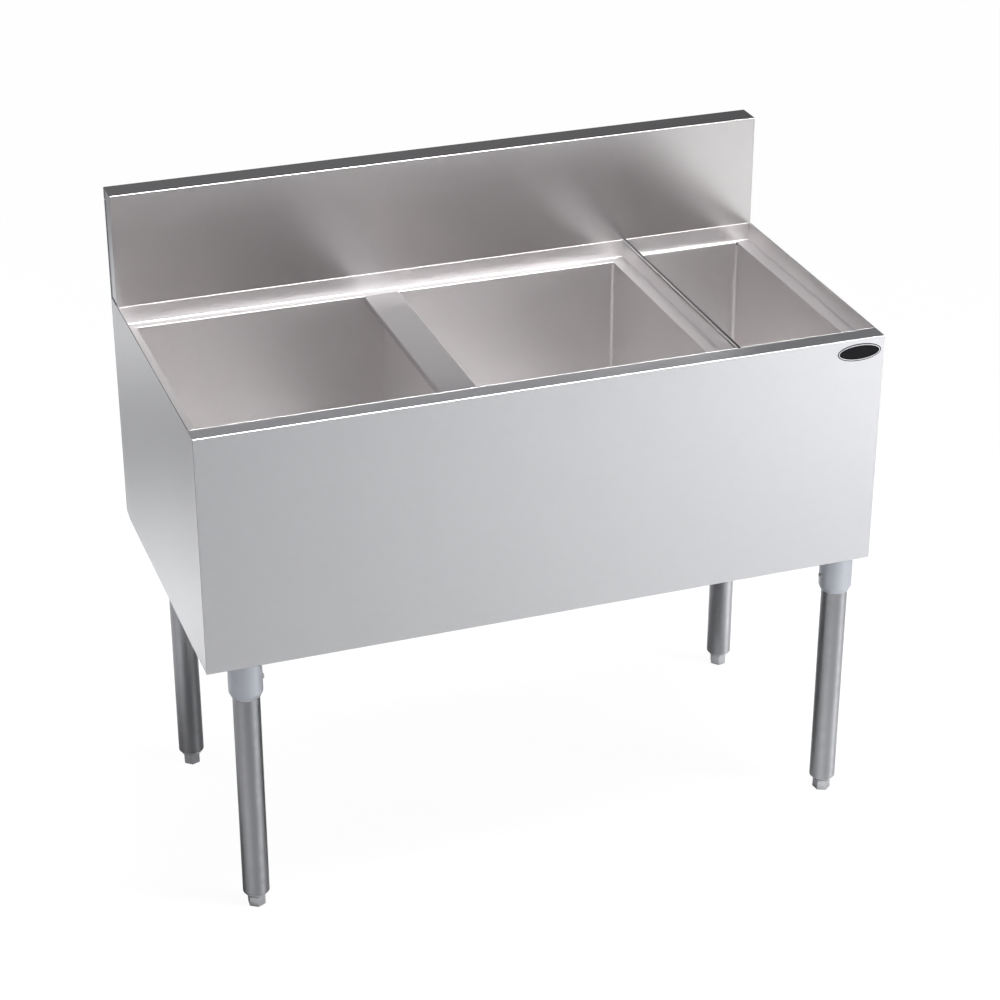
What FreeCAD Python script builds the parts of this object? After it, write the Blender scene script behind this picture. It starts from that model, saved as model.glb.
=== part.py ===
"""Three-compartment underbar bin unit: two ice bins and a bottle well in a stainless body on four legs.

Millimetres. +X runs to the user's right, +Y to the wall, +Z up. The origin is on the floor, under the middle
of the body. The body is folded sheet, the bins are seamless tubs hung from a recessed ledge, and the legs are
tubes in bolted sockets with screw feet. Every piece is written to parts/NODE.step.
"""
import FreeCAD
import Part

import math
import os

# ---- driving dimensions ------------------------------------------------------------------------------------
WIDTH = 1066.8            # 42 in
DEPTH = 534.6             # 21 in and the rear sheet
RIM_HEIGHT = 824.0        # floor to the rim of the body
APRON_HEIGHT = 381.0      # 15 in
SPLASH_HEIGHT = 182.0     # backsplash above the rim
SPLASH_DEPTH = 45.0
SHEET = 1.2               # 18 gauge stainless
BEND = 1.2                # inside radius of every fold
FIT = 0.1                 # gap between sheets that lie against each other
RIM_DEPTH = 31.0          # top return of the front apron
RECESS = 29.0             # drop from the rim to the ledge that the covers rest on
LEDGE_SIDE = 24.3         # body's side face to the ice bins
LEDGE_FRONT = 50.0        # body's front face to the bins
LEDGE_BACK = 19.6         # backsplash's face to the ice bins
BIN_WIDTH = 366.2         # clear width of each ice bin at the ledge
BAR_WIDTH = 58.8          # flat bar between the ice bins
BIN_DEPTH = 305.0         # ledge to the ice bins' floor
WELL_WIDTH = 192.8
WELL_DEPTH = 254.0
WELL_LEDGE_SIDE = 25.5
WELL_LEDGE_BACK = 8.6
TUB_RADIUS = 5.0          # inside corners of the tubs
DIVIDER_TOP = 6.4         # width of the thin divider between the ice bins and the well
LEG_RADIUS = 20.65        # 1 5/8 in tube
LEG_WALL = 1.5
LEG_INSET_LEFT = 65.0     # body's side to the leg's axis
LEG_INSET_RIGHT = 38.0
LEG_INSET_FRONT = 35.0
LEG_INSET_BACK = 76.0
SOCKET_RADIUS = 26.0
SOCKET_DROP = 69.0        # socket below the apron
SOCKET_TAPER = 10.0       # height of the collar's tapered end
STEM_LENGTH = 38.0        # threaded length above the foot's cone, which allows the travel of 25 mm
FOAM = 12.5               # thickness of the tubs' insulation
NIPPLE_RADIUS = 16.7      # 1 in pipe thread

LEFT = -WIDTH / 2
RIGHT = WIDTH / 2
FRONT = -DEPTH / 2
BACK = DEPTH / 2
RIM = RIM_HEIGHT
APRON_BOTTOM = RIM - APRON_HEIGHT
LEDGE = RIM - RECESS
SPLASH_FACE = BACK - SPLASH_DEPTH
SPLASH_TOP = RIM + SPLASH_HEIGHT
LINER_BACK = SPLASH_FACE - FIT
BIN_FRONT = FRONT + LEDGE_FRONT
BIN_BACK = SPLASH_FACE - LEDGE_BACK
BIN_LEFT = LEFT + LEDGE_SIDE
BAR_LEFT = BIN_LEFT + BIN_WIDTH
BAR_RIGHT = BAR_LEFT + BAR_WIDTH
BIN_RIGHT = BAR_RIGHT + BIN_WIDTH
WELL_RIGHT = RIGHT - WELL_LEDGE_SIDE
WELL_LEFT = WELL_RIGHT - WELL_WIDTH
WELL_BACK = SPLASH_FACE - WELL_LEDGE_BACK
DIVIDER_LEFT = BIN_RIGHT + 23.2
DIVIDER_RIGHT = DIVIDER_LEFT + DIVIDER_TOP
PAN_TOP = RIM - 350.2
PAN_BOTTOM = PAN_TOP - SHEET
REAR_BOTTOM = APRON_BOTTOM + 7.0
REAR_TOP = SPLASH_TOP - 21.0
DRAIN_HOLE = 34.0         # radius of the hole round each drain in the foam and the pan
DRAIN_END = APRON_BOTTOM - 44.0
CHANNEL_HEIGHT = 20.0
CHANNEL_SHEET = 2.0
CHANNEL_BOTTOM = PAN_BOTTOM - FIT - CHANNEL_HEIGHT
PLATE_SHEET = 3.0         # thickness of the sockets' plates
PLATE_BOTTOM = CHANNEL_BOTTOM - FIT - PLATE_SHEET
BOLT_X = 23.0             # leg's axis to the socket's bolts
BOLT_Y = 24.0
SOCKET_BOTTOM = APRON_BOTTOM - SOCKET_DROP
TUBE_TOP = PLATE_BOTTOM - 1.0
TUBE_BOTTOM = 25.5
STEM_RADIUS = 8.0
HEX_TOP = 16.0
HEX_FLATS = 24.8
HEX_TURN = {"front_left": 26.5, "front_right": 38.5, "back_left": 20.5, "back_right": 12.0}   # degrees
OUT = "parts"


# ---- shapes ------------------------------------------------------------------------------------------------
def box(x, y, z):
    """A block between the two values of each of x, y and z."""
    return Part.makeBox(x[1] - x[0], y[1] - y[0], z[1] - z[0], FreeCAD.Vector(x[0], y[0], z[0]))


def rod(radius, x, y, z):
    """An upright cylinder between two heights."""
    return Part.makeCylinder(radius, z[1] - z[0], FreeCAD.Vector(x, y, z[0]))


def ring(outer, inner, x, y, z):
    """An upright round tube or washer."""
    return rod(outer, x, y, z).cut(rod(inner, x, y, (z[0] - 1, z[1] + 1)))


def hexagon(across_flats, x, y, z, turn=0.0):
    """An upright hexagonal prism."""
    reach = across_flats / math.sqrt(3)
    angles = [math.radians(turn + 60 * k) for k in range(7)]
    corners = [FreeCAD.Vector(x + reach * math.cos(a), y + reach * math.sin(a), z[0]) for a in angles]
    return Part.Face(Part.makePolygon(corners)).extrude(FreeCAD.Vector(0, 0, z[1] - z[0]))


def rounded_loop(corners):
    """A closed wire through (point, radius) corners, each corner an arc of its radius."""
    edges = []
    count = len(corners)
    ends = []
    for k in range(count):
        before, here, after = corners[k - 1][0], corners[k][0], corners[(k + 1) % count][0]
        radius = corners[k][1]
        towards = (before - here).normalize()
        away = (after - here).normalize()
        half = towards.getAngle(away) / 2
        if radius <= 0:
            ends.append((here, here))
            continue
        reach = radius / math.tan(half)
        middle = here + (towards + away).normalize() * (radius / math.sin(half) - radius)
        start, stop = here + towards * reach, here + away * reach
        edges.append(Part.Arc(start, middle, stop).toShape())
        ends.append((start, stop))
    for k in range(count):
        start, stop = ends[k][1], ends[(k + 1) % count][0]
        if start.distanceToPoint(stop) > 1e-6:
            edges.append(Part.LineSegment(start, stop).toShape())
    return Part.Wire(Part.sortEdges(edges)[0])


def folded(path, plane, span, thickness=SHEET, bend=BEND):
    """A folded sheet that runs over the span along the axis its plane (yz, xz or xy) leaves out.

    The path is the sheet's one face in that plane, and the sheet lies to the path's left.
    """
    along, place = {
        "yz": (FreeCAD.Vector(1, 0, 0), lambda a, b: FreeCAD.Vector(span[0], a, b)),
        "xz": (FreeCAD.Vector(0, 1, 0), lambda a, b: FreeCAD.Vector(a, span[0], b)),
        "xy": (FreeCAD.Vector(0, 0, 1), lambda a, b: FreeCAD.Vector(a, b, span[0])),
    }[plane]
    steps = [(b[0] - a[0], b[1] - a[1]) for a, b in zip(path, path[1:])]
    unit = [(s[0] / math.hypot(*s), s[1] / math.hypot(*s)) for s in steps]
    normal = [(-u[1], u[0]) for u in unit]

    def beside(point, *normals):
        """The point moved by the sheet's thickness along each normal."""
        return tuple(point[i] + thickness * sum(n[i] for n in normals) for i in (0, 1))

    face, other = [(path[0], 0.0)], [(beside(path[0], normal[0]), 0.0)]
    for k in range(1, len(path) - 1):
        turn = unit[k - 1][0] * unit[k][1] - unit[k - 1][1] * unit[k][0]
        wide, narrow = bend + thickness, bend
        face.append((path[k], wide if turn > 0 else narrow))
        other.append((beside(path[k], normal[k - 1], normal[k]), narrow if turn > 0 else wide))
    face.append((path[-1], 0.0))
    other.append((beside(path[-1], normal[-1]), 0.0))
    corners = [(place(*p), r) for p, r in face + other[::-1]]
    return Part.Face(rounded_loop(corners)).extrude(along * (span[1] - span[0]))


def tub(x, y, z, radius):
    """A block with its upright and bottom edges rounded: the inside or outside of a tub."""
    block = box(x, y, z)
    soft = []
    for edge in block.Edges:
        bottom = max(v.Z for v in edge.Vertexes) < z[0] + 0.01
        upright = abs(edge.Vertexes[0].Z - edge.Vertexes[1].Z) > 1
        if bottom or upright:
            soft.append(edge)
    return block.makeFillet(radius, soft)


def fillet_where(shape, radius, chosen):
    """The shape with every edge rounded for which chosen(edge) holds."""
    return shape.makeFillet(radius, [edge for edge in shape.Edges if chosen(edge)])


def fused(shapes):
    """The shapes as one solid."""
    return shapes[0].multiFuse(shapes[1:]).removeSplitter()


def write(node, *shapes):
    """Writes a node's solids to its STEP file."""
    solids = [s for shape in shapes for s in shape.Solids]
    shape = solids[0] if len(solids) == 1 else Part.makeCompound(solids)
    shape.exportStep(os.path.join(OUT, node + ".step"))


# ---- body --------------------------------------------------------------------------------------------------
def front_apron():
    """The front sheet: bottom flange, face, top return and a short lip down into the recess."""
    flange = 8.0
    lip = 14.0
    path = [
        (FRONT + flange, APRON_BOTTOM),
        (FRONT, APRON_BOTTOM),
        (FRONT, RIM),
        (FRONT + RIM_DEPTH, RIM),
        (FRONT + RIM_DEPTH, RIM - lip),
    ]
    sheet = folded([(a, b) for a, b in path[::-1]], "yz", (LEFT, RIGHT))
    lip_y = (FRONT + RIM_DEPTH - SHEET - BEND - 0.1, FRONT + RIM_DEPTH + 1)
    lip_z = (RIM - lip - 1, RIM - SHEET - 0.01)
    for end in ((LEFT - 1, LEFT + SHEET + 2 * FIT), (RIGHT - SHEET - 2 * FIT, RIGHT + 1)):
        sheet = sheet.cut(box(end, lip_y, lip_z))
    return sheet


def side_panel(side):
    """A side sheet with inward flanges front, back and bottom, notched under the rim; side is -1 or 1."""
    flange, foot = 16.0, 12.0
    y0, y1 = FRONT + SHEET + FIT, BACK - SHEET - FIT
    clip_long, clip_high = 22.0, 6.0
    path = [(LEFT + flange, y0), (LEFT, y0), (LEFT, y1), (LEFT + flange, y1)]
    wall = folded(path[::-1], "xy", (APRON_BOTTOM, RIM))
    bottom_y, bottom_z = (FRONT + 12, y1 - clip_long - 4), (APRON_BOTTOM, APRON_BOTTOM + SHEET)
    panel = fused([wall, box((LEFT + SHEET / 2, LEFT + foot), bottom_y, bottom_z)])
    across = (LEFT - 1, LEFT + flange + 1)
    panel = panel.cut(box(across, (FRONT - 1, FRONT + RIM_DEPTH + FIT), (RIM - SHEET - FIT, RIM + 1)))
    bend_y = (FRONT - 1, FRONT + SHEET + BEND + FIT)
    panel = panel.cut(box(across, (FRONT - 1, FRONT + 9), (APRON_BOTTOM - 1, APRON_BOTTOM + SHEET + FIT)))
    panel = panel.cut(box(across, bend_y, (APRON_BOTTOM - 1, APRON_BOTTOM + SHEET + BEND + FIT)))
    panel = panel.cut(box(across, bend_y, (RIM - SHEET - BEND - FIT, RIM + 1)))
    corner = [
        FreeCAD.Vector(LEFT - 1, y1 - clip_long, APRON_BOTTOM - 1),
        FreeCAD.Vector(LEFT - 1, BACK, APRON_BOTTOM - 1),
        FreeCAD.Vector(LEFT - 1, BACK, APRON_BOTTOM + clip_high + 1),
        FreeCAD.Vector(LEFT - 1, y1 - 3, APRON_BOTTOM + clip_high + 1),
        FreeCAD.Vector(LEFT - 1, y1 - clip_long, APRON_BOTTOM),
    ]
    wedge = Part.Face(Part.makePolygon(corner + corner[:1])).extrude(FreeCAD.Vector(flange + 4, 0, 0))
    panel = panel.cut(wedge)
    # the liner's side wall stands inside the panel, so the flanges stop below the recess
    gap_x = (LEFT + SHEET + 0.001, LEFT + flange + 1)
    gap_y = (BACK - SPLASH_DEPTH, BACK - SHEET - BEND - 2 * FIT - SHEET)
    panel = panel.cut(box(gap_x, gap_y, (LEDGE, RIM + 1)))
    if side > 0:
        panel = panel.mirror(FreeCAD.Vector(0, 0, 0), FreeCAD.Vector(1, 0, 0))
    return panel


def rear_panel():
    """The flat cover over the whole back of the body and of the backsplash."""
    sheet = box((LEFT + 0.2, RIGHT - 0.2), (BACK - SHEET, BACK), (REAR_BOTTOM, REAR_TOP))
    for x, z in rear_screw_places():
        hole = Part.makeCylinder(2.3, 4, FreeCAD.Vector(x, BACK - 3, z), FreeCAD.Vector(0, 1, 0))
        sheet = sheet.cut(hole)
    return sheet


def rear_screw_places():
    """Where the screws hold the rear panel to the flanges of the side panels and end caps."""
    heights = [REAR_BOTTOM + 25, REAR_BOTTOM + 180, RIM - 30, RIM + 60, REAR_TOP - 15]
    return [(x, z) for x in (LEFT + 9, RIGHT - 9) for z in heights]


def rear_screws():
    """Low-head screws, each a solid of its own."""
    screws = []
    outward = FreeCAD.Vector(0, 1, 0)
    for x, z in rear_screw_places():
        head = Part.makeCone(4.2, 3.0, 1.4, FreeCAD.Vector(x, BACK + 0.05, z), outward)
        slot = box((x - 3.2, x + 3.2), (BACK + 0.75, BACK + 2), (z - 0.5, z + 0.5))
        shank = Part.makeCylinder(1.1, SHEET + 0.2, FreeCAD.Vector(x, BACK - SHEET - 0.1, z), outward)
        screws.append(head.fuse(shank).cut(slot))
    return screws


def bottom_pan():
    """The closing sheet under the foam, turned up front and back, with a hole round each drain."""
    turn_up = 12.0
    inset = 2 * SHEET + BEND + 3 * FIT
    y0, y1 = FRONT + inset, BACK - inset
    path = [(y0, PAN_BOTTOM + turn_up), (y0, PAN_BOTTOM), (y1, PAN_BOTTOM), (y1, PAN_BOTTOM + turn_up)]
    pan = folded(path, "yz", (LEFT + SHEET + 2 * FIT, RIGHT - SHEET - 2 * FIT))
    for x, y, _ in drain_places().values():
        pan = pan.cut(rod(DRAIN_HOLE, x, y, (PAN_BOTTOM - 5, PAN_TOP + 5)))
    return pan


# ---- backsplash --------------------------------------------------------------------------------------------
def backsplash():
    """The tall back sheet: a face that laps behind the liners, a top return and a short rear flange."""
    lap, rear = 28.0, 20.0
    path = [
        (SPLASH_FACE, RIM - lap),
        (SPLASH_FACE, SPLASH_TOP),
        (BACK, SPLASH_TOP),
        (BACK, SPLASH_TOP - rear),
    ]
    sheet = folded(path[::-1], "yz", (LEFT, RIGHT))
    below = (RIM - lap - 1, RIM + FIT)
    for end in ((LEFT - 1, LEFT + SHEET + FIT), (RIGHT - SHEET - FIT, RIGHT + 1)):
        sheet = sheet.cut(box(end, (SPLASH_FACE - 1, SPLASH_FACE + 5), below))
    return sheet


def splash_end_cap(side):
    """The plate that closes one end of the backsplash; side is -1 or 1."""
    flange = 14.0
    x0 = LEFT + SHEET + FIT
    y0, y1 = SPLASH_FACE + SHEET + FIT, BACK - 2 * SHEET - 3 * FIT
    path = [(x0 + flange, y0), (x0, y0), (x0, y1), (x0 + flange, y1)]
    cap = folded(path[::-1], "xy", (RIM - 27, SPLASH_TOP - SHEET - BEND))
    if side > 0:
        cap = cap.mirror(FreeCAD.Vector(0, 0, 0), FreeCAD.Vector(1, 0, 0))
    return cap


def splash_stiffener():
    """The hat section welded behind the backsplash's face."""
    y0, y1 = SPLASH_FACE + SHEET + FIT, SPLASH_FACE + 22
    low, high, brim = RIM + 62, RIM + 112, 14.0
    near = y0 + SHEET
    path = [(near, low - brim), (near, low), (y1, low), (y1, high), (near, high), (near, high + brim)]
    return folded(path, "yz", (LEFT + 60, RIGHT - 60))


# ---- liners ------------------------------------------------------------------------------------------------
def liner(tray, opening, floor, drains, tub_bend=2.4):
    """A tray with upstanding walls, whose ledge folds down into one seamless tub.

    tray and opening are ((x0, x1), (y0, y1)); the tray's are its outside, the opening's the tub's inside.
    """
    (tx, ty), (ox, oy) = tray, opening
    deck = box(tx, ty, (LEDGE - SHEET, RIM))
    hollow = box((tx[0] + SHEET, tx[1] - SHEET), (ty[0] + SHEET, ty[1] - SHEET), (LEDGE, RIM + 1))
    outer_x, outer_y = (ox[0] - SHEET, ox[1] + SHEET), (oy[0] - SHEET, oy[1] + SHEET)
    outside = tub(outer_x, outer_y, (floor - SHEET, LEDGE - SHEET / 2), TUB_RADIUS + SHEET)
    inside = tub(ox, oy, (floor, LEDGE + 1), TUB_RADIUS)
    body = deck.cut(hollow).fuse(outside).cut(inside).removeSplitter()

    def at_mouth(edge):
        """Whether the edge is on the tub's rim at the ledge."""
        box_of = edge.BoundBox
        flat = abs(box_of.ZMin - LEDGE) < 0.01 and abs(box_of.ZMax - LEDGE) < 0.01
        within = box_of.XMin > ox[0] - 0.1 and box_of.XMax < ox[1] + 0.1
        return flat and within and box_of.YMin > oy[0] - 0.1 and box_of.YMax < oy[1] + 0.1

    body = fillet_where(body, tub_bend, at_mouth)
    for x, y in drains:
        body = body.cut(rod(NIPPLE_RADIUS + 0.3, x, y, (floor - 5, floor + 5)))
    return body


def ice_bin_liner():
    """The wide liner of both ice bins. Its right wall folds over to cap the divider beside the well."""
    tray = ((LEFT + SHEET + FIT, DIVIDER_LEFT + SHEET), (FRONT + RIM_DEPTH + FIT, LINER_BACK))
    places = drain_places()
    body = liner(tray, ((BIN_LEFT, BIN_RIGHT), (BIN_FRONT, BIN_BACK)), LEDGE - BIN_DEPTH,
                 [places[n][:2] for n in ("left_bin", "right_bin")])
    cap = box((DIVIDER_LEFT, DIVIDER_RIGHT), tray[1], (RIM - SHEET, RIM))
    lip = box((DIVIDER_RIGHT - SHEET, DIVIDER_RIGHT), tray[1], (RIM - 8, RIM))
    body = fused([body, cap, lip])

    def along_cap(edge):
        """Whether the edge is one of the cap's two long top edges."""
        b = edge.BoundBox
        at_corner = any(abs(b.XMin - x) + abs(b.XMax - x) < 0.01 for x in (DIVIDER_LEFT, DIVIDER_RIGHT))
        return at_corner and abs(b.ZMin - RIM) < 0.01 and abs(b.ZMax - RIM) < 0.01 and b.YLength > 100

    return fillet_where(body, 1.0, along_cap)


def bottle_well_liner():
    """The narrow liner of the bottle well; its left wall stands under the divider's cap."""
    wall = DIVIDER_RIGHT - 2 * SHEET - FIT
    tray = ((wall, RIGHT - SHEET - FIT), (FRONT + RIM_DEPTH + FIT, LINER_BACK))
    body = liner(tray, ((WELL_LEFT, WELL_RIGHT), (BIN_FRONT, WELL_BACK)), LEDGE - WELL_DEPTH,
                 [drain_places()["bottle_well"][:2]])
    under_cap = box((wall - 1, wall + SHEET + FIT / 2), (FRONT, BACK), (RIM - SHEET - FIT, RIM + 1))
    under_lip = box((wall + SHEET + FIT / 2, DIVIDER_RIGHT + FIT), (FRONT, BACK), (RIM - 8 - FIT, RIM + 1))
    relief = rod(1.7, WELL_RIGHT + 1.6, WELL_BACK + 1.6, (LEDGE - 3, LEDGE + 3))
    return body.cut(under_cap).cut(under_lip).cut(relief)


def divider_angle(side):
    """Half of the tee between the ice bins: a flat half-bar flush with the ledge, and a web to the floor."""
    middle = (BAR_LEFT + BAR_RIGHT) / 2
    floor = LEDGE - BIN_DEPTH + FIT
    y0, y1 = BIN_FRONT + FIT, BIN_BACK - FIT
    face = middle - FIT / 2
    path = [(BAR_LEFT, LEDGE), (face, LEDGE), (face, floor)]
    half = folded(path[::-1], "xz", (y0, y1))
    clearance = TUB_RADIUS + 1.0
    # the web's lower corners clear the tub's round ones
    for end, centre in ((y0 - 1, y0 + clearance), (y1 + 1, y1 - clearance)):
        corner = box((BAR_LEFT, middle + 1), sorted((end, centre)), (floor - 1, floor + clearance))
        start = FreeCAD.Vector(BAR_LEFT - 50, centre, floor + clearance)
        half = half.cut(corner.cut(Part.makeCylinder(clearance, 200, start, FreeCAD.Vector(1, 0, 0))))
    if side > 0:
        half = half.mirror(FreeCAD.Vector(middle, 0, 0), FreeCAD.Vector(1, 0, 0))
    return half


def foam_jacket(tub_x, tub_back, floor):
    """Rigid insulation of an even thickness round a tub, open under the drains."""
    outer = SHEET + FOAM

    def grown(by, top):
        """The tub's inside, larger by an even thickness."""
        x, y = (tub_x[0] - by, tub_x[1] + by), (BIN_FRONT - by, tub_back + by)
        return tub(x, y, (floor - by, top), TUB_RADIUS + by)

    jacket = grown(outer, LEDGE - SHEET - FIT).cut(grown(SHEET, LEDGE + 5))
    for x, y, _ in drain_places().values():
        if tub_x[0] < x < tub_x[1]:
            jacket = jacket.cut(rod(DRAIN_HOLE, x, y, (floor - outer - 5, floor)))
    return jacket


# ---- drains ------------------------------------------------------------------------------------------------
def drain_places():
    """Each compartment's drain: x, y and the height of the floor it stands in."""
    y = (BIN_FRONT + BIN_BACK) / 2 + 40
    return {
        "left_bin": (BIN_LEFT + BIN_WIDTH / 2, y, LEDGE - BIN_DEPTH),
        "right_bin": (BIN_RIGHT - BIN_WIDTH / 2, y, LEDGE - BIN_DEPTH),
        "bottle_well": ((WELL_LEFT + WELL_RIGHT) / 2, y, LEDGE - WELL_DEPTH),
    }


def drain_nipple(x, y, floor):
    """The flanged pipe: a dished flange on the floor, a neck, and a full-size threaded end."""
    flange = Part.makeCone(30.0, 27.0, 2.0, FreeCAD.Vector(x, y, floor + FIT / 2))
    neck = rod(NIPPLE_RADIUS - 0.5, x, y, (DRAIN_END + 60, floor + 1))
    end = rod(NIPPLE_RADIUS, x, y, (DRAIN_END, DRAIN_END + 60))
    seat = rod(20.5, x, y, (floor + 0.9, floor + 3))
    return fused([flange, neck, end]).cut(seat).cut(rod(13.2, x, y, (DRAIN_END - 1, floor + 5)))


def drain_strainer(x, y, floor):
    """The perforated disc in the flange's seat."""
    disc = rod(20.2, x, y, (floor + 1.0, floor + 2.0))
    through = (floor, floor + 3)
    holes = [rod(1.6, x, y, through)]
    for count, radius in ((6, 5.6), (12, 11.0)):
        for k in range(count):
            a = 2 * math.pi * k / count
            holes.append(rod(1.6, x + radius * math.cos(a), y + radius * math.sin(a), through))
    return disc.cut(Part.makeCompound(holes))


def drain_gasket(x, y, floor):
    """The rubber washer under the tub's floor."""
    return ring(28.0, NIPPLE_RADIUS - 0.4, x, y, (floor - SHEET - 3.05, floor - SHEET - 0.05))


def drain_locknut(x, y, floor):
    """The hexagonal nut that pulls the flange down."""
    z = (floor - SHEET - 11.2, floor - SHEET - 3.1)
    nut = hexagon(52.0, x, y, z).common(Part.makeCone(29.0, 33.0, z[1] - z[0], FreeCAD.Vector(x, y, z[0])))
    return nut.cut(rod(NIPPLE_RADIUS - 0.4, x, y, (z[0] - 1, z[1] + 1)))


# ---- legs --------------------------------------------------------------------------------------------------
def leg_places():
    """The axis of each leg by name."""
    x = {"left": LEFT + LEG_INSET_LEFT, "right": RIGHT - LEG_INSET_RIGHT}
    y = {"front": FRONT + LEG_INSET_FRONT, "back": BACK - LEG_INSET_BACK}
    return {f"{b}_{a}": (x[a], y[b]) for b in y for a in x}


def leg_channel(x):
    """The lipped channel under the pan that carries one front and one back leg."""
    half, lip = 33.5, 10.0
    top = CHANNEL_BOTTOM + CHANNEL_HEIGHT
    path = [(x - half + lip, top), (x - half, top), (x - half, CHANNEL_BOTTOM), (x + half, CHANNEL_BOTTOM),
            (x + half, top), (x + half - lip, top)]
    channel = folded(path, "xz", (FRONT + 3, BACK - 20), CHANNEL_SHEET, 2.0)
    for px, py in leg_places().values():
        if abs(px - x) < 1:
            for bx, by in bolt_places(px, py):
                channel = channel.cut(rod(3.4, bx, by, (CHANNEL_BOTTOM - 1, CHANNEL_BOTTOM + 4)))
    return channel


def cross_rail(y):
    """The angle that ties the two channels together under the pan."""
    x0 = LEFT + LEG_INSET_LEFT + 35
    x1 = RIGHT - LEG_INSET_RIGHT - 35
    top = PAN_BOTTOM - FIT
    path = [(y, top - 20), (y, top), (y + 25, top)]
    return folded(path[::-1], "yz", (x0, x1), 1.5, 1.5)


def bolt_places(x, y):
    """The four bolts of one socket."""
    return [(x + a * BOLT_X, y + b * BOLT_Y) for a in (-1, 1) for b in (-1, 1)]


def leg_socket(x, y):
    """The cast socket: a square plate with a round collar, bored for the tube and drilled for a set screw."""
    plate = box((x - 33, x + 33), (y - 31, y + 31), (PLATE_BOTTOM, PLATE_BOTTOM + PLATE_SHEET))
    plate = fillet_where(plate, 6.0, lambda e: abs(e.Vertexes[0].Z - e.Vertexes[-1].Z) > 1)
    profile = [
        (0, PLATE_BOTTOM + 1),
        (SOCKET_RADIUS, PLATE_BOTTOM + 1),
        (SOCKET_RADIUS, SOCKET_BOTTOM + SOCKET_TAPER),
        (LEG_RADIUS + 1.6, SOCKET_BOTTOM),
        (0, SOCKET_BOTTOM),
    ]
    collar = revolved(profile, x, y)
    socket = fused([plate, collar])
    socket = socket.cut(rod(LEG_RADIUS + 0.2, x, y, (SOCKET_BOTTOM - 1, TUBE_TOP + 0.2)))
    for bx, by in bolt_places(x, y):
        socket = socket.cut(rod(3.4, bx, by, (PLATE_BOTTOM - 1, PLATE_BOTTOM + 4)))
    inward = -1 if x > 0 else 1
    start = FreeCAD.Vector(x + inward * 18, y, set_screw_height())
    return socket.cut(Part.makeCylinder(4.05, 12, start, FreeCAD.Vector(inward, 0, 0)))


def set_screw_height():
    """The height of the set screws that grip the tubes."""
    return SOCKET_BOTTOM + 30


def set_screw(x, y):
    """A hexagon-socket set screw pressed against the tube."""
    inward = -1 if x > 0 else 1
    z = set_screw_height()
    start = FreeCAD.Vector(x + inward * (LEG_RADIUS + 0.25), y, z)
    body = Part.makeCylinder(4.0, 7.0, start, FreeCAD.Vector(inward, 0, 0))
    key = hexagon(4.0, 0, 0, (0, 3.0))
    key.rotate(FreeCAD.Vector(0, 0, 0), FreeCAD.Vector(0, 1, 0), 90 * inward)
    key.translate(FreeCAD.Vector(x + inward * (LEG_RADIUS + 4.75), y, z))
    return body.cut(key)


def socket_bolt(x, y):
    """A hexagon-head bolt through the socket's plate and the channel."""
    head = hexagon(10.0, x, y, (PLATE_BOTTOM - 4.05, PLATE_BOTTOM - 0.05))
    return head.fuse(rod(3.0, x, y, (PLATE_BOTTOM - 1, CHANNEL_BOTTOM + 12)))


def socket_nut(x, y):
    """The nut of a socket's bolt, on the channel's web."""
    z = (CHANNEL_BOTTOM + CHANNEL_SHEET + 0.05, CHANNEL_BOTTOM + CHANNEL_SHEET + 5.05)
    return hexagon(10.0, x, y, z).cut(rod(3.05, x, y, (z[0] - 1, z[1] + 1)))


def revolved(profile, x, y):
    """A solid of revolution about an upright axis, from (radius, height) points."""
    points = [FreeCAD.Vector(x + r, y, z) for r, z in profile]
    face = Part.Face(Part.makePolygon(points + points[:1]))
    return face.revolve(FreeCAD.Vector(x, y, 0), FreeCAD.Vector(0, 0, 1), 360)


def leg_tube(x, y):
    """The leg's tube, with its bottom edge broken."""
    inner = LEG_RADIUS - LEG_WALL
    profile = [(LEG_RADIUS, TUBE_TOP), (LEG_RADIUS, TUBE_BOTTOM + 0.4), (LEG_RADIUS - 0.4, TUBE_BOTTOM),
               (inner, TUBE_BOTTOM), (inner, TUBE_TOP)]
    return revolved(profile, x, y)


def leg_insert(x, y):
    """The threaded plug in the tube's bottom end."""
    outer = LEG_RADIUS - LEG_WALL - 0.05
    return ring(outer, STEM_RADIUS + 0.1, x, y, (TUBE_BOTTOM + 0.5, TUBE_BOTTOM + 36))


def foot(x, y, turn):
    """The screw foot: a hexagon with a broken lower edge, a cone as wide as the tube, and a threaded stem."""
    base = hexagon(HEX_FLATS, x, y, (0, HEX_TOP), turn)
    bevel = Part.makeCone(HEX_FLATS / 2, HEX_FLATS / 2 + 3, 2.0, FreeCAD.Vector(x, y, 0))
    base = base.common(bevel.fuse(rod(HEX_FLATS, x, y, (1.9, HEX_TOP))))
    top = TUBE_BOTTOM - 0.3
    stem_top = top + STEM_LENGTH
    profile = [
        (0, HEX_TOP - 2),
        (10.2, HEX_TOP - 2),
        (11.4, HEX_TOP - 0.4),
        (LEG_RADIUS - 0.5, top - 0.9),
        (LEG_RADIUS - 0.5, top),
        (STEM_RADIUS, top),
        (STEM_RADIUS, stem_top - 1),
        (STEM_RADIUS - 1, stem_top),
        (0, stem_top),
    ]
    return fused([base, revolved(profile, x, y)])


# ---- nameplate ---------------------------------------------------------------------------------------------
def nameplate():
    """A blank oval plate at the apron's upper right corner."""
    long, high, thick = 72.0, 28.0, 0.8
    middle = FreeCAD.Vector(RIGHT - 41.0, FRONT, RIM - 21.6)
    end, top = middle + FreeCAD.Vector(long / 2, 0, 0), middle + FreeCAD.Vector(0, 0, high / 2)
    oval = Part.Ellipse(end, top, middle)
    return Part.Face(Part.Wire(oval.toShape())).extrude(FreeCAD.Vector(0, -thick, 0))


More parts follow.
